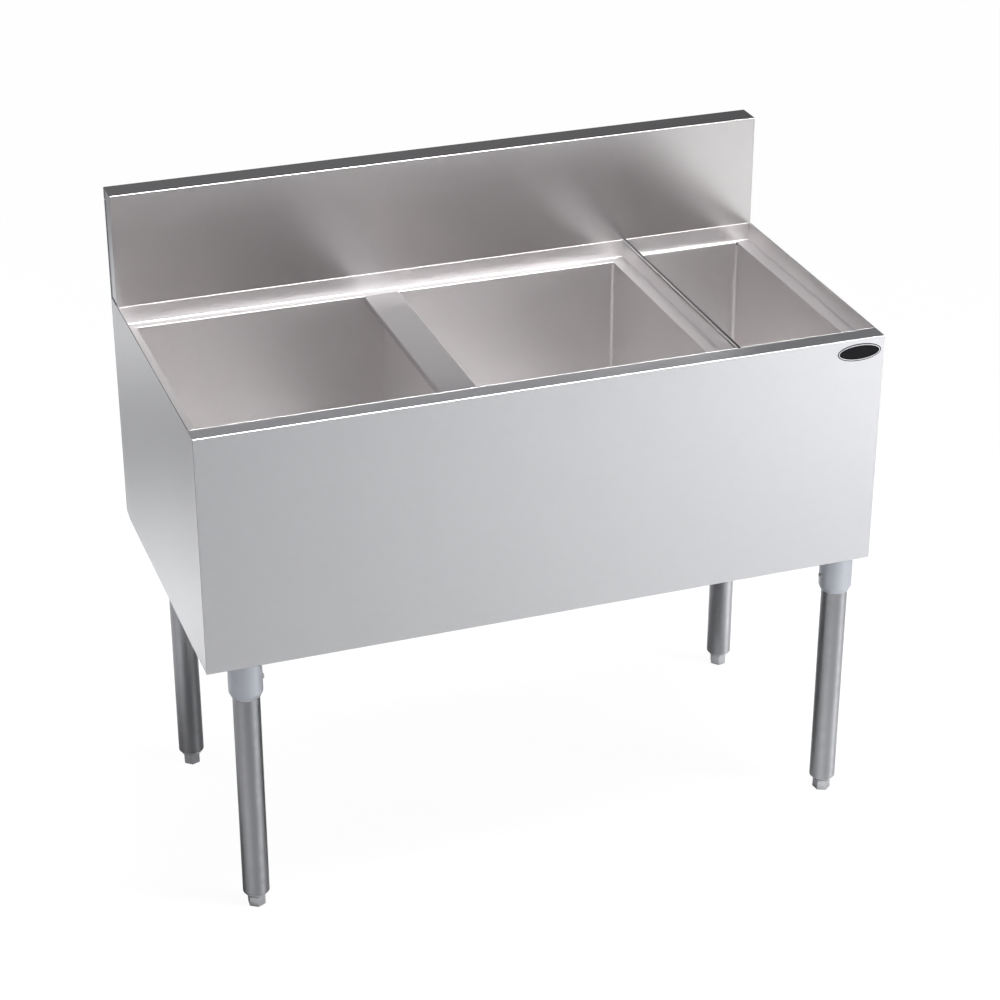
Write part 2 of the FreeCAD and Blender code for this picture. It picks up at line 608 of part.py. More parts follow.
def main():
    """Builds and writes every node."""
    os.makedirs(OUT, exist_ok=True)
    write("front_apron", front_apron())
    write("side_panel_left", side_panel(-1))
    write("side_panel_right", side_panel(1))
    write("rear_panel", rear_panel())
    write("rear_panel_screws", *rear_screws())
    write("bottom_pan", bottom_pan())
    write("backsplash", backsplash())
    write("splash_end_cap_left", splash_end_cap(-1))
    write("splash_end_cap_right", splash_end_cap(1))
    write("splash_stiffener", splash_stiffener())
    write("ice_bin_liner", ice_bin_liner())
    write("bottle_well_liner", bottle_well_liner())
    write("bin_divider_left_angle", divider_angle(-1))
    write("bin_divider_right_angle", divider_angle(1))
    write("ice_bin_foam", foam_jacket((BIN_LEFT, BIN_RIGHT), BIN_BACK, LEDGE - BIN_DEPTH))
    write("bottle_well_foam", foam_jacket((WELL_LEFT, WELL_RIGHT), WELL_BACK, LEDGE - WELL_DEPTH))
    for name, (x, y, floor) in drain_places().items():
        write("drain_nipple_" + name, drain_nipple(x, y, floor))
        write("drain_strainer_" + name, drain_strainer(x, y, floor))
        write("drain_gasket_" + name, drain_gasket(x, y, floor))
        write("drain_locknut_" + name, drain_locknut(x, y, floor))
    legs = leg_places()
    write("leg_channel_left", leg_channel(LEFT + LEG_INSET_LEFT))
    write("leg_channel_right", leg_channel(RIGHT - LEG_INSET_RIGHT))
    write("cross_rail_front", cross_rail(FRONT + 26))
    write("cross_rail_back", cross_rail(BACK - 90))
    for name, (x, y) in legs.items():
        write("leg_socket_" + name, leg_socket(x, y))
        write("leg_tube_" + name, leg_tube(x, y))
        write("leg_insert_" + name, leg_insert(x, y))
        write("foot_" + name, foot(x, y, HEX_TURN[name]))
    write("leg_set_screws", *[set_screw(x, y) for x, y in legs.values()])
    bolts = [place for x, y in legs.values() for place in bolt_places(x, y)]
    write("socket_bolts", *[socket_bolt(x, y) for x, y in bolts])
    write("socket_nuts", *[socket_nut(x, y) for x, y in bolts])
    write("nameplate", nameplate())


main()
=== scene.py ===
"""Looks of a stainless underbar unit: two ice bins and a bottle well in one boxed body on four legs.

Every visible sheet is a folded shell worked out with numpy, every round part is a profile turned about its
axis, and the finishes share a few shader node groups. Lengths are in metres, in the model's own frame.
"""

import logging
import math
from abc import ABC, abstractmethod
from dataclasses import dataclass, field
from enum import Enum
from typing import Callable, Optional, Sequence

import bpy
import numpy as np
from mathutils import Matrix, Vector


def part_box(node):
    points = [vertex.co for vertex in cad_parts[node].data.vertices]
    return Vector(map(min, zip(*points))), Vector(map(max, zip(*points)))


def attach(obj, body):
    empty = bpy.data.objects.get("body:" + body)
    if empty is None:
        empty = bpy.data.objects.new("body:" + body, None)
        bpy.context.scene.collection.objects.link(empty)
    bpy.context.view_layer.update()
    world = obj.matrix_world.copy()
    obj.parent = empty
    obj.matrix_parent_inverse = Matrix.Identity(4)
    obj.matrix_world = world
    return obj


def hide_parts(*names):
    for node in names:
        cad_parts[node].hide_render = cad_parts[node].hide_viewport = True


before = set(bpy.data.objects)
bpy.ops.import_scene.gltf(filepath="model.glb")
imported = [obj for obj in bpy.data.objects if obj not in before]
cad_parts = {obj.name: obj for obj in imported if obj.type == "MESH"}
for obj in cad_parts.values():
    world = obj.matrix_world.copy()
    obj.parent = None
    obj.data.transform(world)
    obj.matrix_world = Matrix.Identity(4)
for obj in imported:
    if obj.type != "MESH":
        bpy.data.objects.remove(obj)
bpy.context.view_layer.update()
LOG = logging.getLogger("underbar")
Array = np.ndarray
Pair = tuple[float, float]
Triple = tuple[float, float, float]
Color = tuple[float, float, float, float]
Values = dict[str | int, object]
Node, Socket, Outputs = bpy.types.Node, bpy.types.NodeSocket, bpy.types.NodeOutputs

SHEET = 0.0012  # the body's sheet
BEND = 0.0012  # inside radius of its folds
GAP = 0.0001  # between pieces that stand close
SHARPEST = 0.00002  # the smallest radius that a fold is struck to
CUT_EDGE, TUB_EDGE = 0.0003, 0.0002  # bevels on the cut edges of sheets and of tubs
RECESS, FRONT_LEDGE = 0.029, 0.050  # the ledges' depth below the rim, and their width behind the apron
AROUND = 96  # steps round a leg, a foot or the plate
TINY = 1e-6  # a turn or a length below this counts as none
SHARP_ABOVE, BEVEL_ABOVE = math.radians(42), math.radians(60)
WHITE, BLACK = (1.0, 1.0, 1.0, 1.0), (0.0, 0.0, 0.0, 1.0)


# ---- surfaces ----------------------------------------------------------------------------------------------
@dataclass
class Shell:
    """The points and faces of one closed surface.

    Attributes:
        points: Places, one row a point.
        faces: Four-sided faces, one row a face.
        caps: Faces of any number of corners that close open ends.
        bend: From 0 on a flat to 1 on a bend or a rounded edge, one value a point.
    """

    points: Array
    faces: Array
    caps: list[tuple[int, ...]] = field(default_factory=list)
    bend: Optional[Array] = None

    def joined(self, other: "Shell") -> "Shell":
        """Returns both surfaces as one, with this one's points first."""
        shift = len(self.points)
        return Shell(
            np.vstack([self.points, other.points]),
            np.vstack([self.faces, other.faces + shift]),
            self.caps + [tuple(i + shift for i in cap) for cap in other.caps],
            np.concatenate([self.bends(), other.bends()]),
        )

    def bends(self) -> Array:
        """Returns the bend values, zero where none were given."""
        return np.zeros(len(self.points)) if self.bend is None else self.bend


def grid_faces(rows: int, columns: int, close_rows: bool = False, close_columns: bool = False) -> Array:
    """Four-sided faces of a grid whose points run along the columns first.

    Face (i, j) joins points (i, j), (i, j+1), (i+1, j+1) and (i+1, j), where a closed direction wraps round.

    Args:
        rows: Number of rows of points.
        columns: Number of points in a row.
        close_rows: Whether the last row joins the first.
        close_columns: Whether a row's last point joins its first.

    Returns:
        One row of four point numbers a face.
    """
    i = np.arange(rows if close_rows else rows - 1)[:, None]
    j = np.arange(columns if close_columns else columns - 1)[None, :]
    i2, j2 = (i + 1) % rows, (j + 1) % columns
    corners = [i * columns + j, i * columns + j2, i2 * columns + j2, i2 * columns + j]
    return np.stack([c.ravel() for c in corners], axis=1)


def thick(front: Array, back: Array, bend: Optional[Array] = None) -> Shell:
    """A closed shell between two grids of the same shape, such as the two faces of a sheet.

    The front's faces are kept and the back's are reversed, and a band of quads joins their edges.

    Args:
        front: Grid of points, rows by columns by 3.
        back: The grid that lies the sheet's thickness behind it.
        bend: Bend values, rows by columns.

    Returns:
        The closed shell.
    """
    rows, columns = front.shape[:2]
    count = rows * columns
    quads = grid_faces(rows, columns)
    number = np.arange(count).reshape(rows, columns)
    loop = np.concatenate([number[0, :], number[1:, -1], number[-1, -2::-1], number[-2:0:-1, 0]])
    after = np.roll(loop, -1)
    band = np.stack([after, loop, loop + count, after + count], axis=1)
    points = np.vstack([front.reshape(-1, 3), back.reshape(-1, 3)])
    faces = np.vstack([quads, quads[:, ::-1] + count, band])
    values = np.zeros(count) if bend is None else bend.ravel()
    return Shell(points, faces, [], np.tile(values, 2))


def tube_grid(grid: Array, bend: Optional[Array] = None, capped: bool = False) -> Shell:
    """A grid whose columns close on themselves; its rows close too, unless the two ends are capped.

    Args:
        grid: Points, rows by columns by 3.
        bend: Bend values, rows by columns.
        capped: Whether the first and last rows are closed with a face each.

    Returns:
        The closed surface.
    """
    rows, columns = grid.shape[:2]
    faces = grid_faces(rows, columns, close_rows=not capped, close_columns=True)
    last = (rows - 1) * columns
    caps = [tuple(range(columns))[::-1], tuple(range(last, last + columns))] if capped else []
    return Shell(grid.reshape(-1, 3), faces, caps, None if bend is None else bend.ravel())


def unit(vectors: Array) -> Array:
    """Returns each row scaled to a length of one, and a row of no length as it is."""
    length = np.linalg.norm(vectors, axis=1, keepdims=True)
    return vectors / np.where(length < TINY, 1.0, length)


def rounded(corners: Array, radii: Array, steps: int = 6, closed: bool = False) -> tuple[Array, Array]:
    """A polyline with an arc in each corner.

    The arc of radius r in a corner of half-angle h touches both sides at r / tan(h) from the corner, and its
    centre is r / sin(h) along the bisector. A corner of radius zero stays one point.

    Args:
        corners: Points in the plane, one row a corner.
        radii: One radius a corner; the ends of an open line take none.
        steps: Segments in each arc.
        closed: Whether the last corner joins the first.

    Returns:
        The points, and for each whether it lies on an arc.
    """
    radii = np.array(radii, float)
    if not closed:
        radii[[0, -1]] = 0.0
    back, ahead = unit(np.roll(corners, 1, axis=0) - corners), unit(np.roll(corners, -1, axis=0) - corners)
    half = np.maximum(np.arccos(np.clip((back * ahead).sum(1), -1, 1)) / 2, TINY)
    centre = corners + unit(back + ahead) * (radii / np.sin(half))[:, None]
    touch = radii / np.tan(half)
    start, stop = (corners + side * touch[:, None] - centre for side in (back, ahead))
    first = np.arctan2(start[:, 1], start[:, 0])
    sweep = np.arctan2(stop[:, 1], stop[:, 0]) - first
    sweep = (sweep + math.pi) % (2 * math.pi) - math.pi
    angle = first[:, None] + sweep[:, None] * np.linspace(0, 1, steps + 1)[None, :]
    points = centre[:, None, :] + radii[:, None, None] * np.stack([np.cos(angle), np.sin(angle)], axis=2)
    keep = (radii[:, None] > 0) | (np.arange(steps + 1)[None, :] == 0)
    points = np.where(radii[:, None, None] > 0, points, corners[:, None, :])
    arc = np.broadcast_to(radii[:, None] > 0, keep.shape)
    return points[keep], arc[keep].astype(float)


def sheet_faces(path: Array, thickness: float, inside: Array) -> tuple[Array, Array, Array]:
    """The two faces of a folded sheet in its section's plane.

    The path is one face, and the other lies the thickness to its left: at a left turn the path has the larger
    radius, the inside radius plus the thickness, and at a right turn the other face has it.

    Args:
        path: Corners of the one face.
        thickness: The sheet's thickness.
        inside: Inside bend radius at each corner, below zero where the outside is struck sharper.

    Returns:
        The path's face, the other face, and bend values, with as many rows each.
    """
    along = unit(np.diff(path, axis=0))
    left = np.stack([-along[:, 1], along[:, 0]], axis=1)
    turn = along[:-1, 0] * along[1:, 1] - along[:-1, 1] * along[1:, 0]
    mitre = (left[:-1] + left[1:]) / (1 + (left[:-1] * left[1:]).sum(1, keepdims=True))
    other = path + thickness * np.vstack([left[:1], mitre, left[-1:]])
    wide = np.concatenate([[0], np.where(turn > 0, thickness, 0), [0]])
    bent = np.concatenate([[0], (np.abs(turn) > TINY).astype(float), [0]])
    face, mask = rounded(path, np.maximum(inside + wide, SHARPEST) * bent)
    opposite, _ = rounded(other, np.maximum(inside + thickness - wide, SHARPEST) * bent)
    return face, opposite, mask


class Plane(Enum):
    """The plane of a section; the sheet runs along the axis that the plane leaves out."""

    YZ = (1, 2, 0)
    XZ = (0, 2, 1)
    XY = (0, 1, 2)

    def place(self, section: Array, run: Array) -> Array:
        """Places section points in space.

        Args:
            section: Points in the plane, columns by 2.
            run: Places along the third axis, rows by columns.

        Returns:
            Points, rows by columns by 3.
        """
        grid = np.empty(run.shape + (3,))
        grid[..., self.value[0]] = section[None, :, 0]
        grid[..., self.value[1]] = section[None, :, 1]
        grid[..., self.value[2]] = run
        return grid


Trim = Callable[[Array], Array]


@dataclass(frozen=True)
class Folded:
    """A folded sheet: a path bent in one plane and carried along the third axis.

    Attributes:
        path: Corners of one face, with the sheet to their left.
        plane: The section's plane.
        start: Where the sheet starts along the third axis, for each section point.
        stop: Where it ends.
        thickness: The sheet's thickness.
        inside: Inside radius of the bends, or one for each corner.
        stations: Number of rows along the third axis.
    """

    path: Sequence[Pair]
    plane: Plane
    start: float | Trim
    stop: float | Trim
    thickness: float = SHEET
    inside: float | Sequence[float] = BEND
    stations: int = 2

    def shell(self) -> Shell:
        """Carries both faces from start to stop: a row at share t lies at start + t * (stop - start).

        The XZ plane's third axis runs the other way round, so its rows are turned to keep faces outward.

        Returns:
            The closed sheet.
        """
        path = np.array(self.path, float)
        inside = np.broadcast_to(np.array(self.inside, float), (len(path),))
        face, other, mask = sheet_faces(path, self.thickness, inside)
        share = np.linspace(0, 1, self.stations)[:, None]
        grids = []
        for section in (face, other):
            low, high = (end(section) if callable(end) else np.full(len(section), end)
                         for end in (self.start, self.stop))
            grid = self.plane.place(section, low + share * (high - low))
            grids.append(grid[::-1] if self.plane is Plane.XZ else grid)
        return thick(*grids, np.broadcast_to(mask, (self.stations, len(mask))))


def rounded_rectangle(x: Pair, y: Pair, radius: float, steps: int = 8) -> Array:
    """A rectangle with round corners, with the same number of points whatever its size."""
    corners = np.array([[x[1], y[0]], [x[1], y[1]], [x[0], y[1]], [x[0], y[0]]])
    return rounded(corners, np.full(4, max(radius, SHARPEST / 2)), steps, closed=True)[0]


def steps_round(count: int) -> Array:
    """Returns the angles of a number of equal steps round a circle."""
    return np.linspace(0, 2 * math.pi, count, endpoint=False)


def revolved(radius: Array, height: Array, angle: Array, centre: Pair) -> Array:
    """Returns the points (x + r cos a, y + r sin a, z) for a grid of radii r, heights z and angles a."""
    x, y = centre[0] + radius * np.cos(angle), centre[1] + radius * np.sin(angle)
    return np.stack([x, y, np.broadcast_to(height, x.shape)], axis=2)


def turned(profile: Array, centre: Pair, segments: int = 64, bend: Optional[Array] = None,
           capped: bool = False) -> Shell:
    """A profile turned about an upright axis.

    Args:
        profile: Radius and height, one row a point, closed on itself unless the ends are capped.
        centre: The axis's x and y.
        segments: Number of steps round the axis.
        bend: Bend values along the profile, or one row of them a profile point.
        capped: Whether the profile's ends are closed with flat faces.

    Returns:
        The closed surface.
    """
    grid = revolved(profile[:, 0:1], profile[:, 1:2], steps_round(segments)[None, :], centre)
    if bend is not None:
        bend = np.broadcast_to(bend.reshape(len(profile), -1), grid.shape[:2])
    return tube_grid(grid, bend, capped)


@dataclass(frozen=True)
class Tub:
    """A tray with upstanding walls whose ledge folds down into a seamless tub.

    Attributes:
        tray_x, tray_y: Outside of the tray's walls.
        tub_x, tub_y: Inside of the tub at the ledge.
        rim, ledge, floor: Heights of the walls' top, the ledge and the tub's floor.
        corner: Inside radius of the tub's upright and lower corners.
        tray_corner, least: Radius of the tray's upright corners, and the smallest radius of any ring's.
        fold, mouth: Radius of the fold between the tray's walls and its ledge, and at the tub's mouth.
        fall: How far the floor falls towards its middle.
        spread: First and last share of the floor that has a ring, and the number of rings.
        middle: Half-width of the strip that the last ring leaves open.
        arc_steps: Segments in each fold.
    """

    tray_x: Pair
    tray_y: Pair
    tub_x: Pair
    tub_y: Pair
    rim: float
    ledge: float
    floor: float
    corner: float = 0.005
    tray_corner: float = 0.0024
    least: float = 0.0004
    fold: float = 0.0012
    mouth: float = 0.0006
    fall: float = 0.0010
    spread: tuple[float, float, int] = (0.25, 0.97, 5)
    middle: float = 0.002
    arc_steps: int = 6

    def rings(self, offset: float) -> tuple[Array, Array]:
        """Level rings of the wet side (offset 0) or of the dry side (offset a sheet's thickness).

        Each ring is a rounded rectangle. Down the wall the ring keeps its size; round a fold of radius r its
        inset changes by r - r cos a while its height changes by r sin a, and a fold grows or shrinks by the
        offset as it faces away from or towards the wet side. The floor falls by a squared sine.

        Args:
            offset: Distance from the wet side.

        Returns:
            The rings' points, and bend values a ring.
        """
        quarter = np.linspace(0, math.pi / 2, self.arc_steps + 1)
        fold, mouth, base = self.fold + offset, max(self.mouth - offset, 10 * SHARPEST), self.corner + offset
        ledge, floor = self.ledge - offset, self.floor - offset
        side = SHEET - offset
        tray = [(side, self.rim, 0.0)]
        tray += [(side + fold * (1 - math.cos(a)), ledge + fold * (1 - math.sin(a)), 1.0) for a in quarter]
        tub = [(-offset + mouth * (math.sin(a) - 1), ledge - mouth * (1 - math.cos(a)), 1.0) for a in quarter]
        tub += [(-offset + base * (1 - math.cos(a)), floor + base * (1 - math.sin(a)), 1.0) for a in quarter]
        deepest = min(self.tub_x[1] - self.tub_x[0], self.tub_y[1] - self.tub_y[0]) / 2
        shares = np.linspace(*self.spread)
        tub += [(s * deepest, floor - self.fall * math.sin(s * math.pi / 2) ** 2, 0.0) for s in shares]
        points = [self._ring(self.tray_x, self.tray_y, i, h, self.tray_corner) for i, h, _ in tray]
        points += [self._ring(self.tub_x, self.tub_y, i, h, self.corner) for i, h, _ in tub]
        return np.array(points), np.array([bent for _, _, bent in tray + tub])

    def _ring(self, x: Pair, y: Pair, inset: float, height: float, corner: float) -> Array:
        """One level ring, inset from a rectangle whose corners have a radius."""
        radius = max(corner - inset, self.least)
        inset = min(inset, (min(x[1] - x[0], y[1] - y[0])) / 2 - self.middle)
        flat = rounded_rectangle((x[0] + inset, x[1] - inset), (y[0] + inset, y[1] - inset), radius)
        return np.column_stack([flat, np.full(len(flat), height)])

    def shell(self) -> Shell:
        """Returns the closed shell between the wet and the dry rings, with a face at each floor's middle."""
        wet, bends = self.rings(0.0)
        dry, _ = self.rings(SHEET)
        grid = np.concatenate([dry[::-1], wet])
        values = np.repeat(np.concatenate([bends[::-1], bends])[:, None], grid.shape[1], axis=1)
        return tube_grid(grid, values, capped=True)


def block(x: Pair, y: Pair, z: Pair, radius: float = 0.0008, steps: int = 3) -> Shell:
    """A block whose upright edges are rounded, as a rounded rectangle carried upwards with softened ends.

    Args:
        x, y, z: Lowest and highest values.
        radius: Radius of its upright edges.
        steps: Segments in each corner.

    Returns:
        The closed block.
    """
    soft = min(radius, (z[1] - z[0]) / 3) * 0.5
    levels = [(soft, z[0]), (0.0, z[0] + soft), (0.0, z[1] - soft), (soft, z[1])]
    rings = [
        np.column_stack([
            rounded_rectangle((x[0] + i, x[1] - i), (y[0] + i, y[1] - i), radius - i / 2, steps),
            np.full(4 * (steps + 1), h),
        ])
        for i, h in levels
    ]
    return tube_grid(np.array(rings), None, capped=True)


def make_object(name: str, shell: Shell, material: bpy.types.Material, edge: float) -> bpy.types.Object:
    """Puts a surface into a new object.

    Args:
        name: The piece's name.
        shell: Its surface.
        material: Its finish.
        edge: Width of the bevel on its cut edges, or zero.

    Returns:
        The object, at the origin.
    """
    mesh = bpy.data.meshes.new(name)
    mesh.from_pydata(shell.points.tolist(), [], shell.faces.tolist() + shell.caps)
    mesh.update()
    mesh.polygons.foreach_set("use_smooth", np.ones(len(mesh.polygons), bool))
    mesh.attributes.new("bend", "FLOAT", "POINT").data.foreach_set("value", shell.bends().astype(np.float32))
    mesh.set_sharp_from_angle(angle=SHARP_ABOVE)
    mesh.materials.append(material)
    piece = bpy.data.objects.new(name, mesh)
    bpy.context.scene.collection.objects.link(piece)
    if edge > 0:
        bevel = piece.modifiers.new("cut edges", "BEVEL")
        bevel.width, bevel.segments, bevel.limit_method, bevel.angle_limit = edge, 2, "ANGLE", BEVEL_ABOVE
    piece.modifiers.new("flat faces", "WEIGHTED_NORMAL").keep_sharp = True
    return piece


# ---- shader groups -----------------------------------------------------------------------------------------
class Nodes:
    """A small builder for a node tree."""

    def __init__(self, tree: bpy.types.NodeTree) -> None:
        """Starts on a tree."""
        self.tree = tree

    def feed(self, node: Node, inputs: Values) -> None:
        """Gives each named or numbered input of a node its value, or links a socket to it."""
        for key, value in inputs.items():
            if isinstance(value, Socket):
                self.tree.links.new(value, node.inputs[key])
            else:
                node.inputs[key].default_value = value

    def add(self, kind: str, inputs: Optional[Values] = None, **settings: object) -> Node:
        """Adds a node.

        Args:
            kind: The node's type.
            inputs: A value or a linked socket for each named or numbered input.
            settings: Properties of the node.

        Returns:
            The node.
        """
        node = self.tree.nodes.new(kind)
        for key, value in settings.items():
            setattr(node, key, value)
        self.feed(node, inputs or {})
        return node

    def math(self, operation: str, *values: object, clamp: bool = False) -> Socket:
        """Adds a Math node and returns its result."""
        node = self.add("ShaderNodeMath", dict(enumerate(values)), operation=operation, use_clamp=clamp)
        return node.outputs[0]

    def remap(self, value: object, low: float, high: float, to_low: float = 0.0,
              to_high: float = 1.0) -> Socket:
        """Adds a clamped Map Range node and returns its result."""
        inputs = {"Value": value, "From Min": low, "From Max": high, "To Min": to_low, "To Max": to_high}
        return self.add("ShaderNodeMapRange", inputs, clamp=True).outputs[0]

    def blend(self, share: object, a: object, b: object) -> Socket:
        """Adds a colour Mix node and returns its result."""
        return self.add("ShaderNodeMix", {0: share, 6: a, 7: b}, data_type="RGBA").outputs[2]

    def noise(self, place: Socket, scale: object, detail: float, **more: float) -> Socket:
        """Adds a Noise Texture node and returns its value."""
        inputs = {"Vector": place, "Scale": scale, "Detail": detail, **more}
        return self.add("ShaderNodeTexNoise", inputs).outputs["Fac"]

    def bump(self, strength: float, distance: float, height: Socket) -> Socket:
        """Adds a Bump node and returns its normal."""
        inputs = {"Strength": strength, "Distance": distance, "Height": height}
        return self.add("ShaderNodeBump", inputs).outputs[0]


class SharedGroup(ABC):
    """A shader node group that is built once and used by several finishes.

    Attributes:
        inputs: A default for each input, or None where it is a vector.
    """

    name: str = ""
    inputs: dict[str, Optional[float]] = {}
    outputs: tuple[str, ...] = ()

    @classmethod
    def tree(cls) -> bpy.types.NodeTree:
        """Returns the group's tree, built at its first use."""
        found = bpy.data.node_groups.get(cls.name)
        if found:
            return found
        tree = bpy.data.node_groups.new(cls.name, "ShaderNodeTree")
        for name, value in cls.inputs.items():
            kind = "NodeSocketVector" if value is None else "NodeSocketFloat"
            socket = tree.interface.new_socket(name, in_out="INPUT", socket_type=kind)
            if value is not None:
                socket.default_value = value
        for name in cls.outputs:
            tree.interface.new_socket(name, in_out="OUTPUT", socket_type="NodeSocketFloat")
        nodes = Nodes(tree)
        nodes.add("NodeGroupOutput", cls.fill(nodes, nodes.add("NodeGroupInput").outputs))
        return tree

    @classmethod
    @abstractmethod
    def fill(cls, nodes: Nodes, given: Outputs) -> Values:
        """Builds the group's inside and returns a socket for each output."""

    @classmethod
    def use(cls, nodes: Nodes, **values: object) -> Outputs:
        """Places the group in a material, with a value or socket for each input, and returns its outputs."""
        return nodes.add("ShaderNodeGroup", values, node_tree=cls.tree()).outputs


class BrushGrain(SharedGroup):
    """Fine parallel scratches: noise stretched along the direction in which the steel was brushed."""

    name = "brush_grain"
    inputs = {"Position": None, "Stretch": None, "Contrast": 1.0}
    outputs = ("Grain", "Height")

    @classmethod
    def fill(cls, nodes: Nodes, given: Outputs) -> Values:
        """Two noises, the second three times finer, are added and stretched about their middle."""
        factors = {0: given["Position"], 1: given["Stretch"]}
        place = nodes.add("ShaderNodeVectorMath", factors, operation="MULTIPLY").outputs[0]
        coarse = nodes.noise(place, 1.0, 3.0, Roughness=0.6)
        fine = nodes.noise(place, 3.1, 2.0, Roughness=0.5)
        both = nodes.math("MULTIPLY_ADD", fine, 0.5, nodes.math("MULTIPLY", coarse, 0.5))
        about = nodes.math("SUBTRACT", both, 0.5)
        grain = nodes.math("MULTIPLY_ADD", about, given["Contrast"], 0.5, clamp=True)
        return {"Grain": grain, "Height": both}


class Smudges(SharedGroup):
    """Broad soft patches left by wiping and handling, with a finer mottle in them."""

    name = "smudges"
    inputs = {"Position": None, "Size": 0.2, "Cover": 0.5}
    outputs = ("Mask",)

    @classmethod
    def fill(cls, nodes: Nodes, given: Outputs) -> Values:
        """A broad noise above the cover's threshold, times a mottle nine times finer."""
        scale = nodes.math("DIVIDE", 1.0, given["Size"])
        broad = nodes.noise(given["Position"], scale, 4.0, Roughness=0.55, Distortion=0.6)
        mottle = nodes.noise(given["Position"], nodes.math("MULTIPLY", scale, 9.0), 3.0)
        threshold = nodes.math("SUBTRACT", 0.75, nodes.math("MULTIPLY", given["Cover"], 0.4))
        soft = nodes.math("MULTIPLY", nodes.math("SUBTRACT", broad, threshold), 4.0, clamp=True)
        uneven = nodes.math("ADD", 0.5, nodes.math("MULTIPLY", mottle, 0.8))
        return {"Mask": nodes.math("MULTIPLY", soft, uneven, clamp=True)}


class EdgeWearAndSheen(SharedGroup):
    """Polishing along bends and edges, broken up by a fine noise; on the legs the same mask brightens painted
    highlight bands.
    """

    name = "edge_wear_and_sheen"
    inputs = {"Position": None, "Bend": 0.0, "Strength": 1.0}
    outputs = ("Mask",)

    @classmethod
    def fill(cls, nodes: Nodes, given: Outputs) -> Values:
        """The bend value times a noise between 0.7 and 1, times the strength."""
        broken = nodes.remap(nodes.noise(given["Position"], 60.0, 2.0), 0.3, 0.6, 0.7, 1.0)
        worn = nodes.math("MULTIPLY", given["Bend"], broken)
        return {"Mask": nodes.math("MULTIPLY", worn, given["Strength"], clamp=True)}


class Speckle(SharedGroup):
    """Small round specks, such as zinc spangle, casting pores or dried drops."""

    name = "speckle"
    inputs = {"Position": None, "Size": 0.004}
    outputs = ("Cell", "Pit")

    @classmethod
    def fill(cls, nodes: Nodes, given: Outputs) -> Values:
        """Cell is a flat value a cell, and Pit rises towards each cell's middle."""
        scale = nodes.math("DIVIDE", 1.0, given["Size"])
        cells = nodes.add("ShaderNodeTexVoronoi", {"Vector": given["Position"], "Scale": scale}).outputs
        value = nodes.add("ShaderNodeSeparateColor", {0: cells["Color"]}).outputs[0]
        return {"Cell": value, "Pit": nodes.remap(cells["Distance"], 0.0, 0.6, 1.0, 0.0)}


# ---- finishes ----------------------------------------------------------------------------------------------
class Grain(Enum):
    """Which way a surface was brushed, as the noise's stretch along x, y and z."""

    ALONG_X = (2.0, 900.0, 900.0)
    ALONG_Y = (900.0, 2.0, 900.0)
    ALONG_Z = (900.0, 900.0, 2.0)
    RANDOM = (260.0, 260.0, 260.0)


@dataclass(frozen=True)
class Finish(ABC):
    """A procedural finish.

    Attributes:
        name: The material's name.
        slot: The record's material slot; not used.
        color: Its base colour, linear.
        roughness: Its mean roughness.
    """

    name: str
    slot: str
    color: Triple
    roughness: float

    def material(self) -> bpy.types.Material:
        """Returns the finish's material, built at its first use."""
        found = bpy.data.materials.get(self.name)
        if found:
            return found
        material = bpy.data.materials.new(self.name)
        material.use_nodes = True
        material.node_tree.nodes.clear()
        nodes = Nodes(material.node_tree)
        place = nodes.add("ShaderNodeTexCoord").outputs["Object"]
        shader = nodes.add("ShaderNodeBsdfPrincipled", self.channels(nodes, place))
        nodes.add("ShaderNodeOutputMaterial", {"Surface": shader.outputs[0]})
        return material

    @abstractmethod
    def channels(self, nodes: Nodes, place: Socket) -> Values:
        """Returns a value or socket for each shader input that the finish sets."""

    def shade(self, factor: float) -> Color:
        """Returns the base colour times a factor, opaque."""
        return (*[min(1.0, c * factor) for c in self.color], 1.0)


@dataclass(frozen=True)
class BrushedSteel(Finish):
    """Stainless sheet with a brushed grain, faint smudges and polished bends.

    Attributes:
        grain: The brushing's direction.
        contrast, relief, tones: How the scratches vary the tone and the relief, and their tones.
        smudge, smudge_share, smudge_tone: A smudge's added roughness, its cover, and its tone.
        wear_and_sheen, polish_and_sheen: How strongly bends are polished, and on the legs how strongly the
            painted highlight bands are brightened, and their tone.
        grain_rough, polish_rough: How far scratches spread the roughness, and how far polish lowers it.
    """

    grain: Grain = Grain.ALONG_X
    contrast: float = 1.0
    relief: float = 0.03
    smudge: float = 0.03
    wear_and_sheen: float = 0.3
    polish_and_sheen: float = 1.12
    tones: Pair = (0.95, 1.04)
    smudge_share: float = 0.25
    smudge_tone: float = 0.90
    grain_rough: float = 0.04
    polish_rough: float = 0.06

    def channels(self, nodes: Nodes, place: Socket) -> Values:
        """The grain varies the colour, roughness and relief; smudges dull it and bends are smoother."""
        grain = BrushGrain.use(nodes, Position=place, Stretch=self.grain.value, Contrast=self.contrast)
        smudge = Smudges.use(nodes, Position=place, Size=0.24, Cover=0.55)[0]
        bend = nodes.add("ShaderNodeAttribute", attribute_name="bend").outputs["Fac"]
        wear_and_sheen = EdgeWearAndSheen.use(nodes, Position=place, Bend=bend, Strength=self.wear_and_sheen)[0]
        tone = nodes.blend(grain["Grain"], *[self.shade(tone) for tone in self.tones])
        dulled = nodes.math("MULTIPLY", smudge, self.smudge_share)
        tone = nodes.blend(dulled, tone, self.shade(self.smudge_tone))
        mean = self.roughness - self.grain_rough / 2
        rough = nodes.math("MULTIPLY_ADD", grain["Grain"], self.grain_rough, mean)
        rough = nodes.math("MULTIPLY_ADD", smudge, self.smudge, rough)
        return {
            "Base Color": nodes.blend(wear_and_sheen, tone, self.shade(self.polish_and_sheen)),
            "Roughness": nodes.math("MULTIPLY_ADD", wear_and_sheen, -self.polish_rough, rough, clamp=True),
            "Normal": nodes.bump(self.relief, 0.0002, grain["Height"]),
            "Metallic": 1.0,
        }


